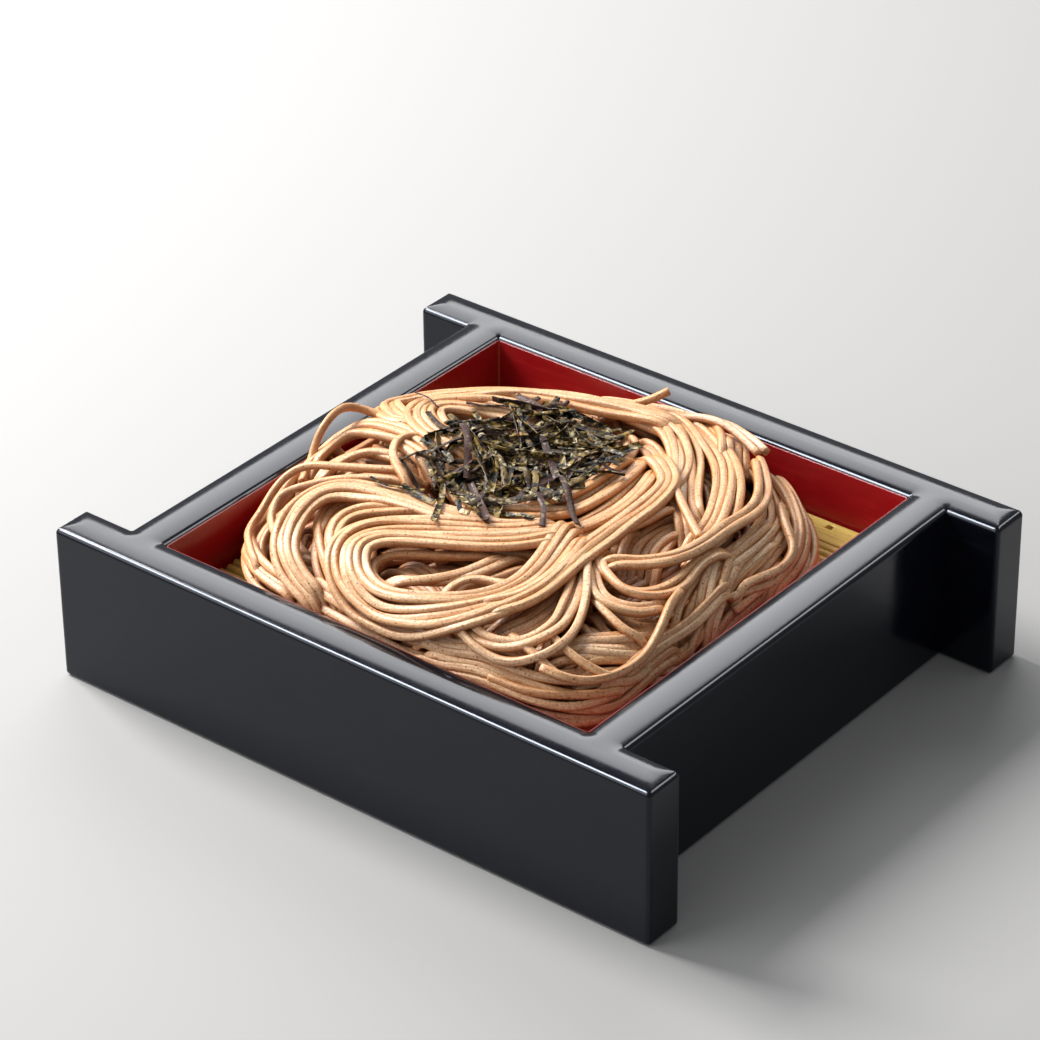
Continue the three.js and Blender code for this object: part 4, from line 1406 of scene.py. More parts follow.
    def _lay(self, strand: Strand) -> None:
        """Lays a strand on what is there already."""
        bridged, softness = 5, 6.0  # samples over which a strand bridges and bends
        radius = (strand.width + strand.height) / 4
        firm = self.firmness * radius
        plan = strand.plan
        natural = self._natural(plan, strand.sink, radius)
        support = self.field.support(plan, firm) + radius - firm - self.give
        height = np.maximum(natural, support)
        limit = np.minimum(self.shape.top(plan) + (self.headroom - radius) * self._stretch(plan),
                           natural + self.rise_limit)
        height = np.where(height > limit, limit + self.over_limit * (height - limit), height)
        height = soften(rolling_max(height, bridged), softness) - strand.tuck
        strand.path = np.column_stack([plan, np.maximum(height, self.shape.base + radius)])
        self.field.lay(strand.path + [0, 0, radius - firm], firm)

    def lay_all(self) -> None:
        """Lays the bed, then the locks from the lowest to the highest, then the loose noodles."""
        locks = [strand for lock in self.locks for strand in self._lock_strands(lock)]
        deep = [strand for strand in locks if strand.layer > self.bed_layer]
        batches = [self._foot()]
        for number, layer in enumerate(self.bed):
            taken = HeightField(self.taken_half, 1.0)
            last = number == len(self.bed) - 1
            if last:
                for strand in deep:
                    taken.mark(strand.plan, self.pitch * self.clearance)
            batches.append(deep * last + self._filled(*layer, taken))
        batches.append([strand for strand in locks if strand.layer <= self.bed_layer])
        for batch in batches:
            for strand in sorted(batch, key=lambda item: -item.layer):
                self._lay(strand)
                self.strands.append(strand)
        for loose in LOOSE:
            path = loose.path(self.shape)
            strand = self._strand(path[:, :2], 0.0, 0.0, True)
            strand.path = path
            self.strands.append(strand)

    # meshes

    def core(self) -> Surface:
        """The inside of the heap, under the strands, in the noodles' darker tone as painted shade."""
        clearance = 0.3
        bearing = np.arange(self.core_sectors) * TAU / self.core_sectors
        ways = np.stack([np.cos(bearing), np.sin(bearing)], axis=1)
        radius = self.shape.outline(ways)[1] * self.core_inset
        foot = self.shape.base + clearance
        rings = [np.column_stack([ways * radius[:, None], np.full(self.core_sectors, foot)])]
        for share in self.core_shares:
            plan = ways * (radius * share)[:, None]
            rings.append(np.column_stack([plan, np.maximum(self.shape.top(plan) - self.core_depth, foot + 1)]))
        crown = self.shape.base + self.shape.rise - self.core_depth
        surface = Surface()
        # painted shade: tone 1.0 gives the core the darker of the noodles' two tones
        surface.add(*capped(np.array(rings), np.array([0, 0, foot]), np.array([0, 0, crown])), tone=1.0)
        return surface

    def _group(self, strand: Strand) -> str:
        """Name of the piece that a strand is part of."""
        if strand.layer > self.bed_layer:
            return "noodles_foot" if strand.layer > self.foot_layer else "noodles_bed"
        if strand.layer < self.top_layer:
            return "noodles_top"
        return "noodles_left" if float(strand.plan[:, 0].mean()) < 0 else "noodles_right"

    def build(self, material: Material) -> list[Piece]:
        """Lays the strands and makes the heap's pieces."""
        self.lay_all()
        made = [self.core().piece("noodle_core", material, Slot.NOODLE, "noodles")]
        mesher = StrandMesher(self.rng, self.shape)
        for name in ("noodles_bed", "noodles_foot", "noodles_left", "noodles_right", "noodles_top"):
            mesh = self.plain_mesh if name in ("noodles_bed", "noodles_foot") else self.fine_mesh
            surface = Surface()
            for strand in self.strands:
                if self._group(strand) == name:
                    mesher.add(surface, strand, *mesh)
            made.append(surface.piece(name, material, Slot.NOODLE, "noodles"))
        return made


# ---------- the nori ----------


@dataclass(frozen=True)
class Shred:
    """A strip in plain view: its middle line as seen, height off the noodles, tone and width."""

    seen: Line
    rise: float
    tone: float
    width: float = 2.0

    def plan(self, shape: HeapShape) -> Array:
        """Its middle line in plan."""
        return smooth_line(shape.landed(self.seen, lambda plan: shape.top(plan) + self.rise), FINE)


SHREDS = (
    Shred(((415, 400), (427, 402.5), (438, 412)), 0.4, 0.2, 1.2),
    Shred(((428, 413), (443, 426), (455, 434)), 2, 0.3),
    Shred(((422, 437), (435, 445), (447, 453), (452, 460)), 1.5, 0.5, 2.2),
    Shred(((402, 460), (408, 453), (420, 448), (430, 447.5)), 1, 0.4, 1.2),
    Shred(((400, 460), (410, 468), (422, 478)), 0.4, 0.3, 1.2),
    Shred(((426, 448), (431, 462), (437, 477)), 1.5, 0.6, 1.5),
    Shred(((433, 453), (443, 468), (453, 483)), 2, 0.3),
    Shred(((371, 477), (387, 483), (403, 485), (425, 488)), 0.4, 0.95, 2.2),
    Shred(((403, 485), (418, 493), (435, 503)), 0.4, 0.7),
    Shred(((425, 480), (437, 492)), 1, 0.8, 1.6),
    Shred(((443, 477), (440, 502), (433, 524)), 0.8, 0.8, 1.8),
    Shred(((453, 483), (463, 493), (472, 503), (478, 512), (487, 522)), 1.5, 0.85, 2.4),
    Shred(((458, 502), (462, 513), (470, 517)), 0.4, 0.8, 1.7),
    Shred(((470, 477), (477, 490), (483, 503), (487, 520)), 2, 0.1),
    Shred(((485, 502), (500, 507.5), (517, 512.5), (533, 520)), 0.5, 1, 2.2),
    Shred(((513, 500), (527, 485), (543, 477), (558, 473)), 2, 0.05, 1.9),
    Shred(((537, 497), (543, 505), (543, 518), (542, 528)), 0.6, 0.1, 1.9),
    Shred(((562, 477), (568, 493), (573, 510), (578, 523)), 1, 0.15, 2.2),
    Shred(((555, 502), (567, 487), (587, 473), (608, 453)), 1, 0.6, 2.1),
    Shred(((562, 467), (587, 450), (612, 433), (633, 422)), 2, 0.9, 2.2),
    Shred(((602, 468), (613, 472), (625, 473)), 0.5, 0.1, 1.4),
    Shred(((560, 418), (587, 423), (612, 428)), 3, 0.45, 2.4),
    Shred(((517, 396), (527, 402), (537, 410), (540, 417)), 1, 0.1, 1.8),
    Shred(((568, 397), (557, 405), (547, 413)), 1, 0.1, 1.6),
    Shred(((473, 403), (483, 415), (493, 427), (503, 437)), 3, 0.7, 1.6),
    Shred(((518, 408), (523, 423), (530, 440), (537, 453)), 4, 0.6, 1.8),
    Shred(((463, 422), (468, 440), (467, 467)), 4, 0.1, 2.4),
    Shred(((473, 462), (483, 453), (492, 448)), 5, 0.05, 1.8),
    Shred(((493, 435), (502, 453), (505, 473)), 5.5, 0.6, 2),
    Shred(((490, 477), (497, 453)), 5.5, 1, 2.2),
    Shred(((543, 432), (548, 447), (557, 467)), 5, 0.2, 2.2),
    Shred(((525, 460), (530, 477)), 5, 0.4, 1.8),
    Shred(((580, 447), (570, 460), (562, 470)), 5, 0.1, 1.8),
)


@dataclass
class Strip:
    """A strip of nori before it is laid down."""

    level: float  # how high it lies in the pile, from 0 to 1
    plan: Array
    lean: float  # how far it stands on edge, in radians
    rise: float  # how far its middle stands clear
    width: float
    tone: float  # what its finish varies by, from 0 to 1


@dataclass
class NoriShreds:
    """Shredded nori piled on the noodles: thin curling strips at every angle, with those in plain view on top."""

    field_under: HeightField
    shape: HeapShape
    centre: Pair = (-13.0, 10.5)
    half_x: float = 29.0
    half_y: float = 33.0
    crown: float = 5.2
    count: int = 145
    turn: float = 137.5  # from each strip to the next, round the pile
    packing: float = 0.62  # 0.5 would spread them evenly, more packs the middle
    inset: float = 0.92
    scatter: float = 1.5
    width: Pair = (1.4, 2.7)
    length: Pair = (13.0, 30.0)
    shortening: float = 0.25  # at the pile's edge
    bend: float = 1.1
    lean: float = 0.3
    on_edge: float = 0.3  # share of the strips that stand on edge
    top_level: float = 0.85
    edge_lean: Pair = (0.7, 1.3)
    rise: float = 2.2
    shown_rise: float = 0.3
    shown_level: Pair = (0.86, 0.02)  # of a strip in plain view, and more for its height
    tone: Pair = (0.1, 1.0)
    thickness: float = 0.22
    curl: float = 0.55
    twist: float = 0.35
    ragged: float = 0.05
    crinkle: float = 0.06
    end_lift: float = 1.2
    contact: float = 0.4  # radius that a strip takes up in the pile
    bridge: float = 1.2  # radius of the gaps between noodles that it spans
    sharp: float = 48.0
    seed: int = 8

    def __post_init__(self) -> None:
        """Keeps the noodles' own tops apart from the growing pile."""
        self.noodle_tops = HeightField(self.field_under.half, self.field_under.cell)
        self.noodle_tops.top[:] = self.field_under.top
        self.rng = np.random.default_rng(self.seed)

    def _path(self, strip: Strip, share: Array, line: Array) -> Array:
        """A strip's middle line where it rests on the noodles and the strips below it.

        Args:
            strip: The strip.
            share: Place along it, from -1 to 1.
            line: Its line in plan.

        Returns:
            The line, one row for each place.
        """
        clear, standing, spanned, softness, end_power = 0.2, 0.8, 3, 2.5, 3
        away = (line - self.centre) / (self.half_x, self.half_y)
        mound = self.crown * strip.level * np.clip(1 - (away ** 2).sum(axis=1), 0, 1)
        lift = clear + standing * abs(math.sin(strip.lean)) * strip.width / 2
        ground = rolling_max(self.noodle_tops.support(line, self.bridge) - self.bridge, spanned) + mound
        pile = self.field_under.support(line, self.contact) - self.contact
        height = soften(np.maximum(ground, pile), softness) + lift
        ends = self.rng.uniform(0.0, self.end_lift) * np.abs(share) ** end_power
        return np.column_stack([line, height + strip.rise * (1 - share ** 2) + ends])

    def _add(self, surface: Surface, strip: Strip) -> None:
        """Lays a strip on the pile and adds its mesh: thin, cupped, twisted, ragged and crinkled."""
        rng, spacing, lay_spacing, columns, sunk = self.rng, 1.1, 0.5, 5, 0.25
        line = resampled(strip.plan, spacing)
        share = np.linspace(-1, 1, len(line))
        path = self._path(strip, share, line)
        self.field_under.lay(resampled(path, lay_spacing) - [0, 0, sunk], self.contact)
        across = np.linspace(-1, 1, columns)
        curl = rng.uniform(-self.curl, self.curl)
        twist = strip.lean + rng.uniform(-self.twist, self.twist) * share
        ragged = 1 + self.ragged * rng.standard_normal(len(line))
        half = (strip.width / 2) * ragged[:, None]
        crinkle = self.crinkle * rng.standard_normal((len(line), columns))
        bow = curl * (1 - across ** 2) * strip.width / 2 + crinkle
        upper = np.stack([across * half, bow + self.thickness / 2], axis=-1)
        lower = np.stack([across * half, bow - self.thickness / 2], axis=-1)
        ring = np.concatenate([lower, upper[:, ::-1]], axis=1)
        c, s = np.cos(twist)[:, None], np.sin(twist)[:, None]
        turned = np.stack([ring[..., 0] * c - ring[..., 1] * s, ring[..., 0] * s + ring[..., 1] * c], axis=-1)
        surface.add(*swept(path, UP, turned), strip.tone)

    def _scattered(self, number: int) -> Strip:
        """One of the strips that fill the pile, the first in its middle and the last at its edge."""
        rng, samples = self.rng, 9
        share = ((number + 0.5) / self.count) ** self.packing
        bearing = number * math.radians(self.turn)
        spread = np.array([self.half_x * math.cos(bearing), self.half_y * math.sin(bearing)])
        middle = self.centre + spread * share * self.inset + rng.normal(0, self.scatter, 2)
        heading = rng.uniform(0, math.pi)
        half = rng.uniform(*self.length) / 2 * (1 - self.shortening * share)
        bend = rng.normal(0, self.bend)
        t = np.linspace(-1, 1, samples)
        along = np.array([math.cos(heading), math.sin(heading)])
        side = np.array([-along[1], along[0]])
        plan = middle + t[:, None] * half * along + (bend * (1 - t ** 2))[:, None] * side
        on_edge = rng.random() < self.on_edge
        lean = rng.uniform(*self.edge_lean) * rng.choice([-1, 1]) if on_edge else rng.normal(0, self.lean)
        rise = rng.uniform(0, self.rise) * (1 - share)
        level = rng.random() * self.top_level
        return Strip(level, plan, lean, rise, rng.uniform(*self.width), float(rng.uniform(*self.tone)))

    def build(self, material: Material) -> Piece:
        """Makes the pile."""
        surface = Surface()
        strips = [self._scattered(number) for number in range(self.count)]
        level, step = self.shown_level
        for shred in SHREDS:
            lean = self.rng.normal(0, self.lean)
            strips.append(Strip(level + step * shred.rise, shred.plan(self.shape), lean, self.shown_rise,
                                shred.width, shred.tone))
        for strip in sorted(strips, key=lambda item: item.level):
            self._add(surface, strip)
        shreds = surface.piece("nori_shreds", material, Slot.NORI, "nori")
        shreds.data.set_sharp_from_angle(angle=math.radians(self.sharp))
        return shreds


# ---------- the tray ----------


@dataclass
class Tray:
    """Moulded tray: two long boards, two cross boards between them and a raised floor, lacquered black."""

    long_board: float = 14.5
    cross_board: float = 14.0
    wing: float = 19.0
    floor_top: float = 31.6
    floor_thickness: float = 4.0
    edge: float = 1.2  # rounding of every edge
    edge_power: float = 1.45  # 2 is a true arc, less is nearer to a bevel
    corner: float = 1.5  # rounding of the upright edges
    crown: float = 1.15  # how far a rim's top falls off towards its edges
    crown_width: float = 6.5
    near_edge: tuple[float, ...] = (1.5, 2.2, 3.2, 4.4, 5.8, 7.0)  # where the mesh is closer beside an edge
    lining_top: float = 52.3
    lining_wall: float = 0.35
    lining_depth: float = 0.3
    lining_sink: float = 0.5
    lining_corner: float = 1.2
    lip_back: Line = ((0.0, -0.35), (0.12, -0.08))  # the lining's lip: in and up from its top
    lip_front: Line = ((-0.12, -0.1), (0.0, -0.4))
    lining_foot: Line = ((0.0, 1.2), (0.35, 0.45), (1.1, 0.18))  # in and up from the floor
    sharp: float = 32.0
    lining_sharp: float = 50.0

    def __post_init__(self) -> None:
        """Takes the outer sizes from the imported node."""
        arc = 8
        low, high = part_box("tray")
        self.length = (high.x - low.x) / MM
        self.depth = (high.y - low.y) / MM
        self.height = (high.z - low.z) / MM
        self.wing_x = self.length / 2 - self.wing
        self.cell_x = self.wing_x - self.cross_board
        self.cell_y = self.depth / 2 - self.long_board
        turns = np.radians(np.linspace(0, 90, arc))
        self.round_in = self.edge * (1 - np.cos(turns) ** (2 / self.edge_power))
        self.round_drop = self.edge * (1 - np.sin(turns) ** (2 / self.edge_power))

    def _lines(self, edges: tuple[float, ...]) -> Array:
        """Grid lines along one axis, close together beside each edge."""
        even, closest = 23, 0.02
        near = np.concatenate([self.round_in, self.near_edge])
        half = max(edges)
        lines = [np.linspace(-half, half, even)]
        for edge in edges:
            for sign in (-1, 1):
                lines += [sign * edge - near, sign * edge + near]
        lines = np.unique(np.round(np.concatenate(lines), 3))
        lines = lines[np.abs(lines) <= half]
        exact = np.array([sign * edge for edge in edges for sign in (-1, 1)])
        gap = np.abs(lines[:, None] - exact).min(axis=1)
        return lines[(gap == 0) | (gap > closest)]

    def _plan(self, x: Array, y: Array) -> tuple[Array, Array, Array]:
        """Rounds the outline's corners.

        Args:
            x: Grid places along X.
            y: Grid places along Y.

        Returns:
            The moved places, and how far each lies in from the nearest edge.
        """
        u = self.length / 2 - np.abs(x)
        outer, inner = self.depth / 2 - np.abs(y), np.abs(y) - self.cell_y
        v = np.minimum(outer, inner)
        a, b = np.maximum(self.corner - u, 0), np.maximum(self.corner - v, 0)
        rounded = (a > 0) & (b > 0)
        most, reach = np.maximum(a, b), np.maximum(np.hypot(a, b), TINY)
        scale = np.where(rounded, most / reach, 1.0)
        new_x = np.sign(x) * np.where(rounded, self.length / 2 - self.corner + a * scale, np.abs(x))
        turned = np.where(outer < inner, self.depth / 2 - self.corner + b * scale,
                          self.cell_y + self.corner - b * scale)
        new_y = np.sign(y) * np.where(rounded, turned, np.abs(y))
        notch = np.hypot(np.maximum(self.wing_x - np.abs(x), 0), np.maximum(inner, 0))
        cell = np.hypot(np.maximum(np.abs(x) - self.cell_x, 0), np.maximum(inner, 0))
        straight = np.minimum.reduce([u, outer, notch, cell])
        return new_x, new_y, np.where(rounded, self.corner - most, straight)

    def _frame(self) -> Surface:
        """The boards in one skin, with pillowed tops and rounded edges."""
        wall_in = 0.5  # the walls have a row of their own this far from top and foot
        xs = self._lines((self.length / 2, self.wing_x, self.cell_x))
        ys = self._lines((self.depth / 2, self.cell_y))
        grid_x, grid_y = np.meshgrid(xs, ys, indexing="ij")
        x, y, inset = self._plan(grid_x, grid_y)
        inset = np.maximum(inset, 0)
        drop = np.interp(inset, self.round_in, self.round_drop)
        sag = self.crown * np.maximum(1 - inset / self.crown_width, 0) ** 2
        middle_x, middle_y = np.abs(xs[1:] + xs[:-1]) / 2, np.abs(ys[1:] + ys[:-1]) / 2
        filled = (middle_y[None, :] > self.cell_y) | ((middle_x > self.cell_x) & (middle_x < self.wing_x))[:, None]
        top = self.height - sag - drop
        points = [np.stack([x, y, z], axis=-1).reshape(-1, 3) for z in (top, top - wall_in, drop + wall_in, drop)]
        layers = [np.arange(x.size).reshape(x.shape) + number * x.size for number in range(len(points))]
        kept = np.pad(filled, 1)
        quads = []
        for i, j in np.argwhere(filled):
            corners = ((i, j), (i + 1, j), (i + 1, j + 1), (i, j + 1))
            quads.append([layers[0][corner] for corner in corners])
            quads.append([layers[-1][corner] for corner in corners[::-1]])
            beside = ((i, j - 1), (i + 1, j), (i, j + 1), (i - 1, j))
            for (column, row), start, end in zip(beside, corners, corners[1:] + corners[:1]):
                if not kept[column + 1, row + 1]:
                    quads += [(low[start], low[end], high[end], high[start]) for high, low in zip(layers, layers[1:])]
        surface = Surface()
        surface.add(np.vstack(points), np.array(quads))
        return surface

    def _lining(self) -> Surface:
        """The red inside of the cell: four thin walls with a rounded lip, and a floor."""
        arc, least, radius = 4, 0.05, self.lining_corner
        wall, top, low = self.lining_wall, self.lining_top, self.floor_top
        profile = [(-self.lining_depth, low - self.lining_sink)]
        profile += [(inset - self.lining_depth, top + rise) for inset, rise in self.lip_back] + [(0.0, top)]
        profile += [(wall + inset, top + rise) for inset, rise in self.lip_front]
        profile += [(wall + inset, low + rise) for inset, rise in self.lining_foot]
        rings = []
        for inset, z in profile:
            ring = []
            for sx, sy, start in ((1, -1, -90), (1, 1, 0), (-1, 1, 90), (-1, -1, 180)):
                middle = np.array([sx * (self.cell_x - radius), sy * (self.cell_y - radius)])
                for angle in np.radians(np.linspace(start, start + 90, arc)):
                    way = np.array([math.cos(angle), math.sin(angle)])
                    ring.append([*(middle + way * (radius - inset if radius > inset else least)), z])
            rings.append(np.array(ring))
        surface = Surface()
        surface.add(*capped(np.array(rings), np.array([0, 0, profile[0][1]]), np.array([0, 0, profile[-1][1]])))
        return surface

    def _body(self) -> bpy.types.Mesh:
        """The boards and floor joined into one skin."""
        frame_skin = self._frame()
        x, y = self.cell_x + self.cross_board / 2, self.cell_y + self.long_board / 2
        low, high = self.floor_top - self.floor_thickness, self.floor_top
        corners = [(sx * x, sy * y, z) for z in (low, high) for sx, sy in ((-1, -1), (1, -1), (1, 1), (-1, 1))]
        slab = [(3, 2, 1, 0), (4, 5, 6, 7), (0, 1, 5, 4), (1, 2, 6, 5), (2, 3, 7, 6), (3, 0, 4, 7)]
        parts = []
        for points, faces in ((np.vstack(frame_skin.points), np.vstack(frame_skin.quads)),
                              (np.array(corners), np.array(slab))):
            mesh = bpy.data.meshes.new("tray_part")
            used, faces_used = np.unique(faces, return_inverse=True)
            mesh.from_pydata((points[used] * MM).tolist(), [], faces_used.reshape(-1, 4).tolist())
            parts.append(bpy.data.objects.new("tray_part", mesh))
            bpy.context.scene.collection.objects.link(parts[-1])
        body, floor = parts
        union = body.modifiers.new("join", "BOOLEAN")
        union.operation, union.solver, union.object = "UNION", "EXACT", floor
        bpy.context.view_layer.update()
        mesh = bpy.data.meshes.new_from_object(body.evaluated_get(bpy.context.evaluated_depsgraph_get()))
        for part in parts:
            bpy.data.objects.remove(part)
        mesh.name = "tray_body"
        mesh.shade_smooth()
        mesh.set_sharp_from_angle(angle=math.radians(self.sharp))
        return mesh

    def build(self, black: Material, red: Material) -> list[Piece]:
        """Makes the black body and the red lining."""
        mesh = self._body()
        mesh.materials.clear()
        mesh.materials.append(black)
        body = dressed(bpy.data.objects.new("tray_body", mesh), Slot.LACQUER, "tray")
        lining = self._lining().piece("cell_lining", red, Slot.LACQUER, "tray")
        lining.data.set_sharp_from_angle(angle=math.radians(self.lining_sharp))
        return [body, lining]


# ---------- the mat ----------


@dataclass
class BambooMat:
    """Round bamboo sticks laid side by side between two flat slats and tied with thread."""

    pitch: float = 3.4
    end_slat: float = 11.0
    slat_thickness: float = 2.3
    tie_places: tuple[float, ...] = (-55.4, -18.5, 18.5, 55.4)
    thread: float = 0.45
    thread_clear: float = 0.02
    thread_step: float = 0.55
    sideways: float = 0.32  # how far the two threads of a tie swing apart between sticks
    thread_drift: Drift = Drift(0.05, 20.0)
    slat_gap: float = 0.25
    slat_inset: float = 0.3
    slat_edge: float = 0.35
    slat_sharp: float = 30.0
    hole: float = 1.1
    hole_inset: float = 2.8
    shorter: float = 0.8  # the most that a stick's end falls short
    stick_drift: Drift = Drift(0.06, 70.0)
    stick_size: float = 0.985
    size_drift: Drift = Drift(0.012, 30.0)
    stick_flat: float = 0.99
    end_size: float = 0.8
    seed: int = 3

    def __post_init__(self) -> None:
        """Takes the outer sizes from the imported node."""
        low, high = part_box("bamboo_mat")
        self.half_x = (high.x - low.x) / 2 / MM
        self.half_y = (high.y - low.y) / 2 / MM
        self.bottom = low.z / MM
        self.top = high.z / MM
        run = 2 * (self.half_y - self.end_slat)
        self.count = round(run / self.pitch)
        self.pitch = run / self.count
        self.radius = min(self.pitch, self.top - self.bottom) / 2

    def _rows(self) -> list[float]:
        """Where the sticks lie along Y."""
        start = -self.half_y + self.end_slat
        return [start + (n + 0.5) * self.pitch for n in range(self.count)]

    def _sticks(self) -> Surface:
        """The round sticks, each slightly uneven and with cut ends."""
        sides, rings, rounding = 14, 28, 0.01
        rng = np.random.default_rng(self.seed)
        surface = Surface()
        turn = (np.arange(sides) + 0.5) * TAU / sides
        circle = np.stack([np.cos(turn) * self.stick_flat, np.sin(turn)], axis=-1)
        for y in self._rows():
            shorter = rng.uniform(0, self.shorter, 2)
            x = np.linspace(-self.half_x + shorter[0], self.half_x - shorter[1], rings)
            x = np.concatenate([[x[0] + rounding], x, [x[-1] - rounding]])
            middle = np.full(len(x), self.bottom + self.radius)
            path = np.column_stack([x, y + self.stick_drift.at(rng, x), middle])
            size = self.radius * (self.stick_size + self.size_drift.at(rng, x))
            size[[0, -1]] *= self.end_size
            surface.add(*swept(path, UP, size[:, None, None] * circle), float(rng.random()))
        return surface

    def _slats(self) -> Surface:
        """The two flat end slats, each a frame of strips round its thread holes."""
        surface = Surface()
        xs = [-self.half_x, *(place + side * self.hole for place in self.tie_places for side in (-1, 1)), self.half_x]
        outer = self.half_y - self.slat_inset
        hole_y = outer - self.hole_inset
        ys = [self.half_y - self.end_slat + self.slat_gap, hole_y - self.hole, hole_y + self.hole, outer]
        columns, rows = len(xs) - 1, len(ys) - 1
        for side in (-1, 1):
            points = [[x, side * y, z] for z in (self.bottom, self.bottom + self.slat_thickness)
                      for x in xs for y in ys]
            quads = []

            def face(*corners: tuple[int, int, int]) -> None:
                """Adds a quad between grid places, turned to face out on either side of the mat."""
                numbers = [(layer * len(xs) + i) * len(ys) + j for layer, i, j in corners]
                quads.append(numbers if side > 0 else numbers[::-1])

            def wall(first: tuple[int, int], second: tuple[int, int]) -> None:
                """Adds an upright quad that faces left as it goes from the first place to the second."""
                face((0, *first), (1, *first), (1, *second), (0, *second))

            for i in range(columns):
                for j in range(rows):
                    a, b, c, d = (i, j), (i + 1, j), (i + 1, j + 1), (i, j + 1)
                    if j == 1 and i % 2 == 1:
                        for first, second in ((a, b), (b, c), (c, d), (d, a)):
                            wall(first, second)
                        continue
                    face((1, *a), (1, *b), (1, *c), (1, *d))
                    face((0, *a), (0, *d), (0, *c), (0, *b))
                wall((i + 1, 0), (i, 0))
                wall((i, rows), (i + 1, rows))
            for j in range(rows):
                wall((0, j), (0, j + 1))
                wall((columns, j + 1), (columns, j))
            surface.add(np.array(points, float), np.array(quads))
        return surface

    def _threads(self) -> Surface:
        """Threads that weave over and under the sticks at each tie."""
        sides, clearance = 6, 0.4
        rng = np.random.default_rng(self.seed + 1)
        surface = Surface()
        turn = np.arange(sides) * TAU / sides
        section = np.stack([np.cos(turn), np.sin(turn)], axis=-1) * self.thread / 2
        end = self.half_y - self.end_slat - clearance
        y = np.arange(-end, end, self.thread_step)
        rows = (y + self.half_y - self.end_slat) / self.pitch
        over = self.top - self.thread / 2 - self.thread_clear
        deep = self.bottom + self.thread / 2 + self.thread_clear
        for place in self.tie_places:
            for phase, sideways in ((0.0, -self.sideways), (math.pi, self.sideways)):
                z = (over + deep) / 2 + (over - deep) / 2 * np.cos(math.pi * (rows - 0.5) + phase)
                x = place + sideways * np.sin(math.pi * rows) + self.thread_drift.at(rng, y)
                surface.add(*swept(np.column_stack([x, y, z]), np.array([1.0, 0.0, 0.0]), section))
        return surface

    def build(self, bamboo: Material) -> list[Piece]:
        """Makes the sticks, slats and threads."""
        slats = self._slats().piece("mat_slats", bamboo, Slot.BAMBOO, "bamboo_mat")
        rounded = slats.modifiers.new("rounded", "BEVEL")
        rounded.width = self.slat_edge * MM
        rounded.segments = 2
        rounded.limit_method = "ANGLE"
        slats.data.set_sharp_from_angle(angle=math.radians(self.slat_sharp))
        return [
            self._sticks().piece("mat_sticks", bamboo, Slot.BAMBOO, "bamboo_mat"),
            slats,
            self._threads().piece("mat_threads", bamboo, Slot.BAMBOO, "bamboo_mat"),
        ]


# ---------- the studio ----------


@dataclass(frozen=True)
class Softbox:
    """A large lamp that faces the tray. Its direction points from the tray to the lamp."""

    name: str
    direction: Triple
    distance: float
    size: Pair
    watts: float
    tint: Triple = (1.0, 1.0, 1.0)
    gleam_only: bool = False  # seen in the polished tray only

    def light(self, target: Vector, polished: bpy.types.Collection) -> Piece:
        """Hangs the lamp.

        Args:
            target: The point that it faces.
            polished: The pieces that a lamp for gleams alone lights.

        Returns:
            The lamp.
        """
        lamp = bpy.data.lights.new(self.name, "AREA")
        lamp.shape = "RECTANGLE"
        lamp.size, lamp.size_y = self.size
        lamp.energy = self.watts
        lamp.color = self.tint
        way = Vector(self.direction).normalized()
        piece = bpy.data.objects.new(self.name, lamp)
        piece.location = target + way * self.distance
        piece.rotation_mode = "QUATERNION"
        piece.rotation_quaternion = way.to_track_quat("Z", "Y")
        if self.gleam_only:
            piece.visible_diffuse = False
            piece.light_linking.receiver_collection = polished
        bpy.context.scene.collection.objects.link(piece)
        return piece


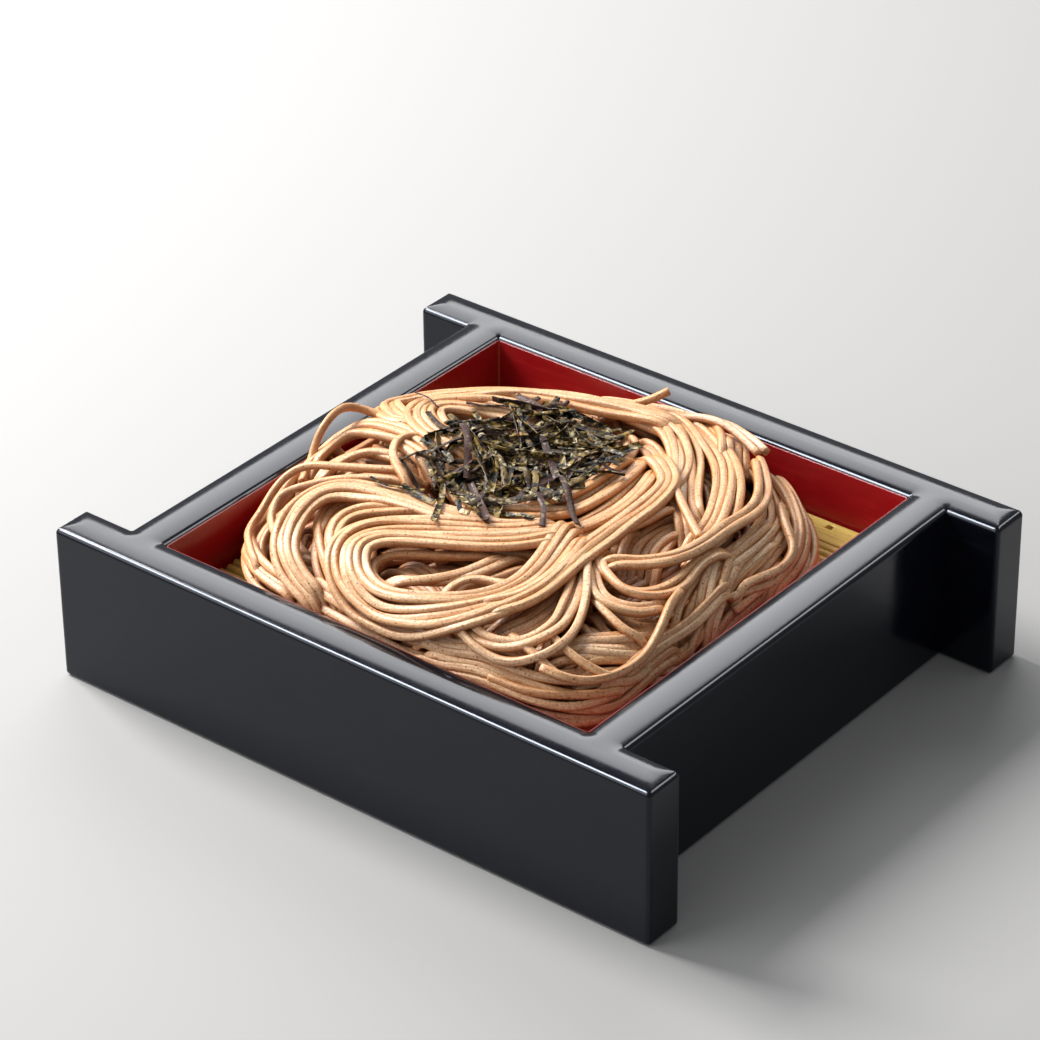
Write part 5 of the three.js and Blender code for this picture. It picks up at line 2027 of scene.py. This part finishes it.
@dataclass(frozen=True)
class Studio:
    """Floor, lamps and camera."""

    floor_half: float = 3.0
    ambient: float = 0.3
    ambient_tint: Triple = (0.97, 0.98, 1.0)
    clip: Pair = (0.05, 20.0)
    boxes: tuple[Softbox, ...] = (
        Softbox("behind", (-0.534, 0.661, 0.66), 1.5, (1.15, 0.75), 9.5),
        Softbox("rim_gleam", (-0.534, 0.661, 0.66), 1.55, (1.2, 0.78), 7.5, (1.0, 0.97, 0.96), gleam_only=True),
        Softbox("left", (-0.8, -0.05, 0.66), 1.4, (0.6, 0.6), 38.0, (1.0, 0.98, 0.96)),
        Softbox("front_fill", (-0.55, -0.75, 0.55), 1.5, (1.0, 0.7), 7.0),
        Softbox("front_edges", (-0.534, -0.527, 0.661), 1.4, (0.7, 0.3), 28.0, (0.93, 0.96, 1.0), gleam_only=True),
        Softbox("side_edges", (0.528, 0.661, 0.533), 1.4, (0.7, 0.3), 6.0, (1.0, 0.97, 0.94), gleam_only=True),
    )

    def _floor(self) -> None:
        """A plain pale floor."""
        mesh = bpy.data.meshes.new("floor")
        h = self.floor_half
        mesh.from_pydata([(-h, -h, 0), (h, -h, 0), (h, h, 0), (-h, h, 0)], [], [(0, 1, 2, 3)])
        mesh.materials.append(FloorFinish().make())
        floor = bpy.data.objects.new("floor", mesh)
        bpy.context.scene.collection.objects.link(floor)

    def _camera(self) -> None:
        """The camera, looking down at the near right corner."""
        turned = Matrix(VIEW.axes().tolist()).transposed().to_4x4()
        data = bpy.data.cameras.new("camera")
        data.lens = VIEW.lens
        data.sensor_width = VIEW.sensor
        data.sensor_fit = "HORIZONTAL"
        data.clip_start, data.clip_end = self.clip
        camera = bpy.data.objects.new("camera", data)
        camera.matrix_world = Matrix.Translation(Vector(VIEW.place) * MM) @ turned
        bpy.context.scene.collection.objects.link(camera)
        bpy.context.scene.camera = camera

    def build(self, tray: list[Piece]) -> None:
        """Sets up the floor, lamps, camera and surrounding light round the polished tray."""
        scene = bpy.context.scene
        polished = bpy.data.collections.new("polished")
        for piece in tray:
            polished.objects.link(piece)
        self._camera()
        self._floor()
        target = (CAD_BOX[0] + CAD_BOX[1]) / 2
        for box in self.boxes:
            box.light(target, polished)
        world = bpy.data.worlds.new("studio")
        world.use_nodes = True
        background = world.node_tree.nodes["Background"]
        background.inputs["Color"].default_value = (*self.ambient_tint, 1.0)
        background.inputs["Strength"].default_value = self.ambient
        scene.world = world
        scene.view_settings.view_transform = "Standard"


def report(made: list[Piece]) -> None:
    """Logs each piece with its size."""
    for piece in made:
        LOG.info("%s: %d faces", piece.name, len(piece.data.polygons))


def main() -> None:
    """Builds the whole dish and the studio round it."""
    logging.basicConfig(level=logging.INFO, format="%(name)s %(message)s")
    effects = Effects()
    black = LacquerFinish("black_lacquer_gloss", (10, 12, 20), (20, 22, 31), gloss=(0.87, 0.92, 1.0)).make(effects)
    red = LacquerFinish("red_lacquer_gloss", (134, 14, 19), (146, 24, 28), roughness=0.2).make(effects)
    tray = Tray().build(black, red)
    Studio().build(tray)
    report(tray)
    report(BambooMat().build(BambooFinish().make(effects)))
    heap = NoodleHeap()
    report(heap.build(NoodleFinish().make(effects)))
    report([NoriShreds(heap.field, heap.shape).build(NoriFinish().make(effects))])


if __name__ == "__main__":
    main()
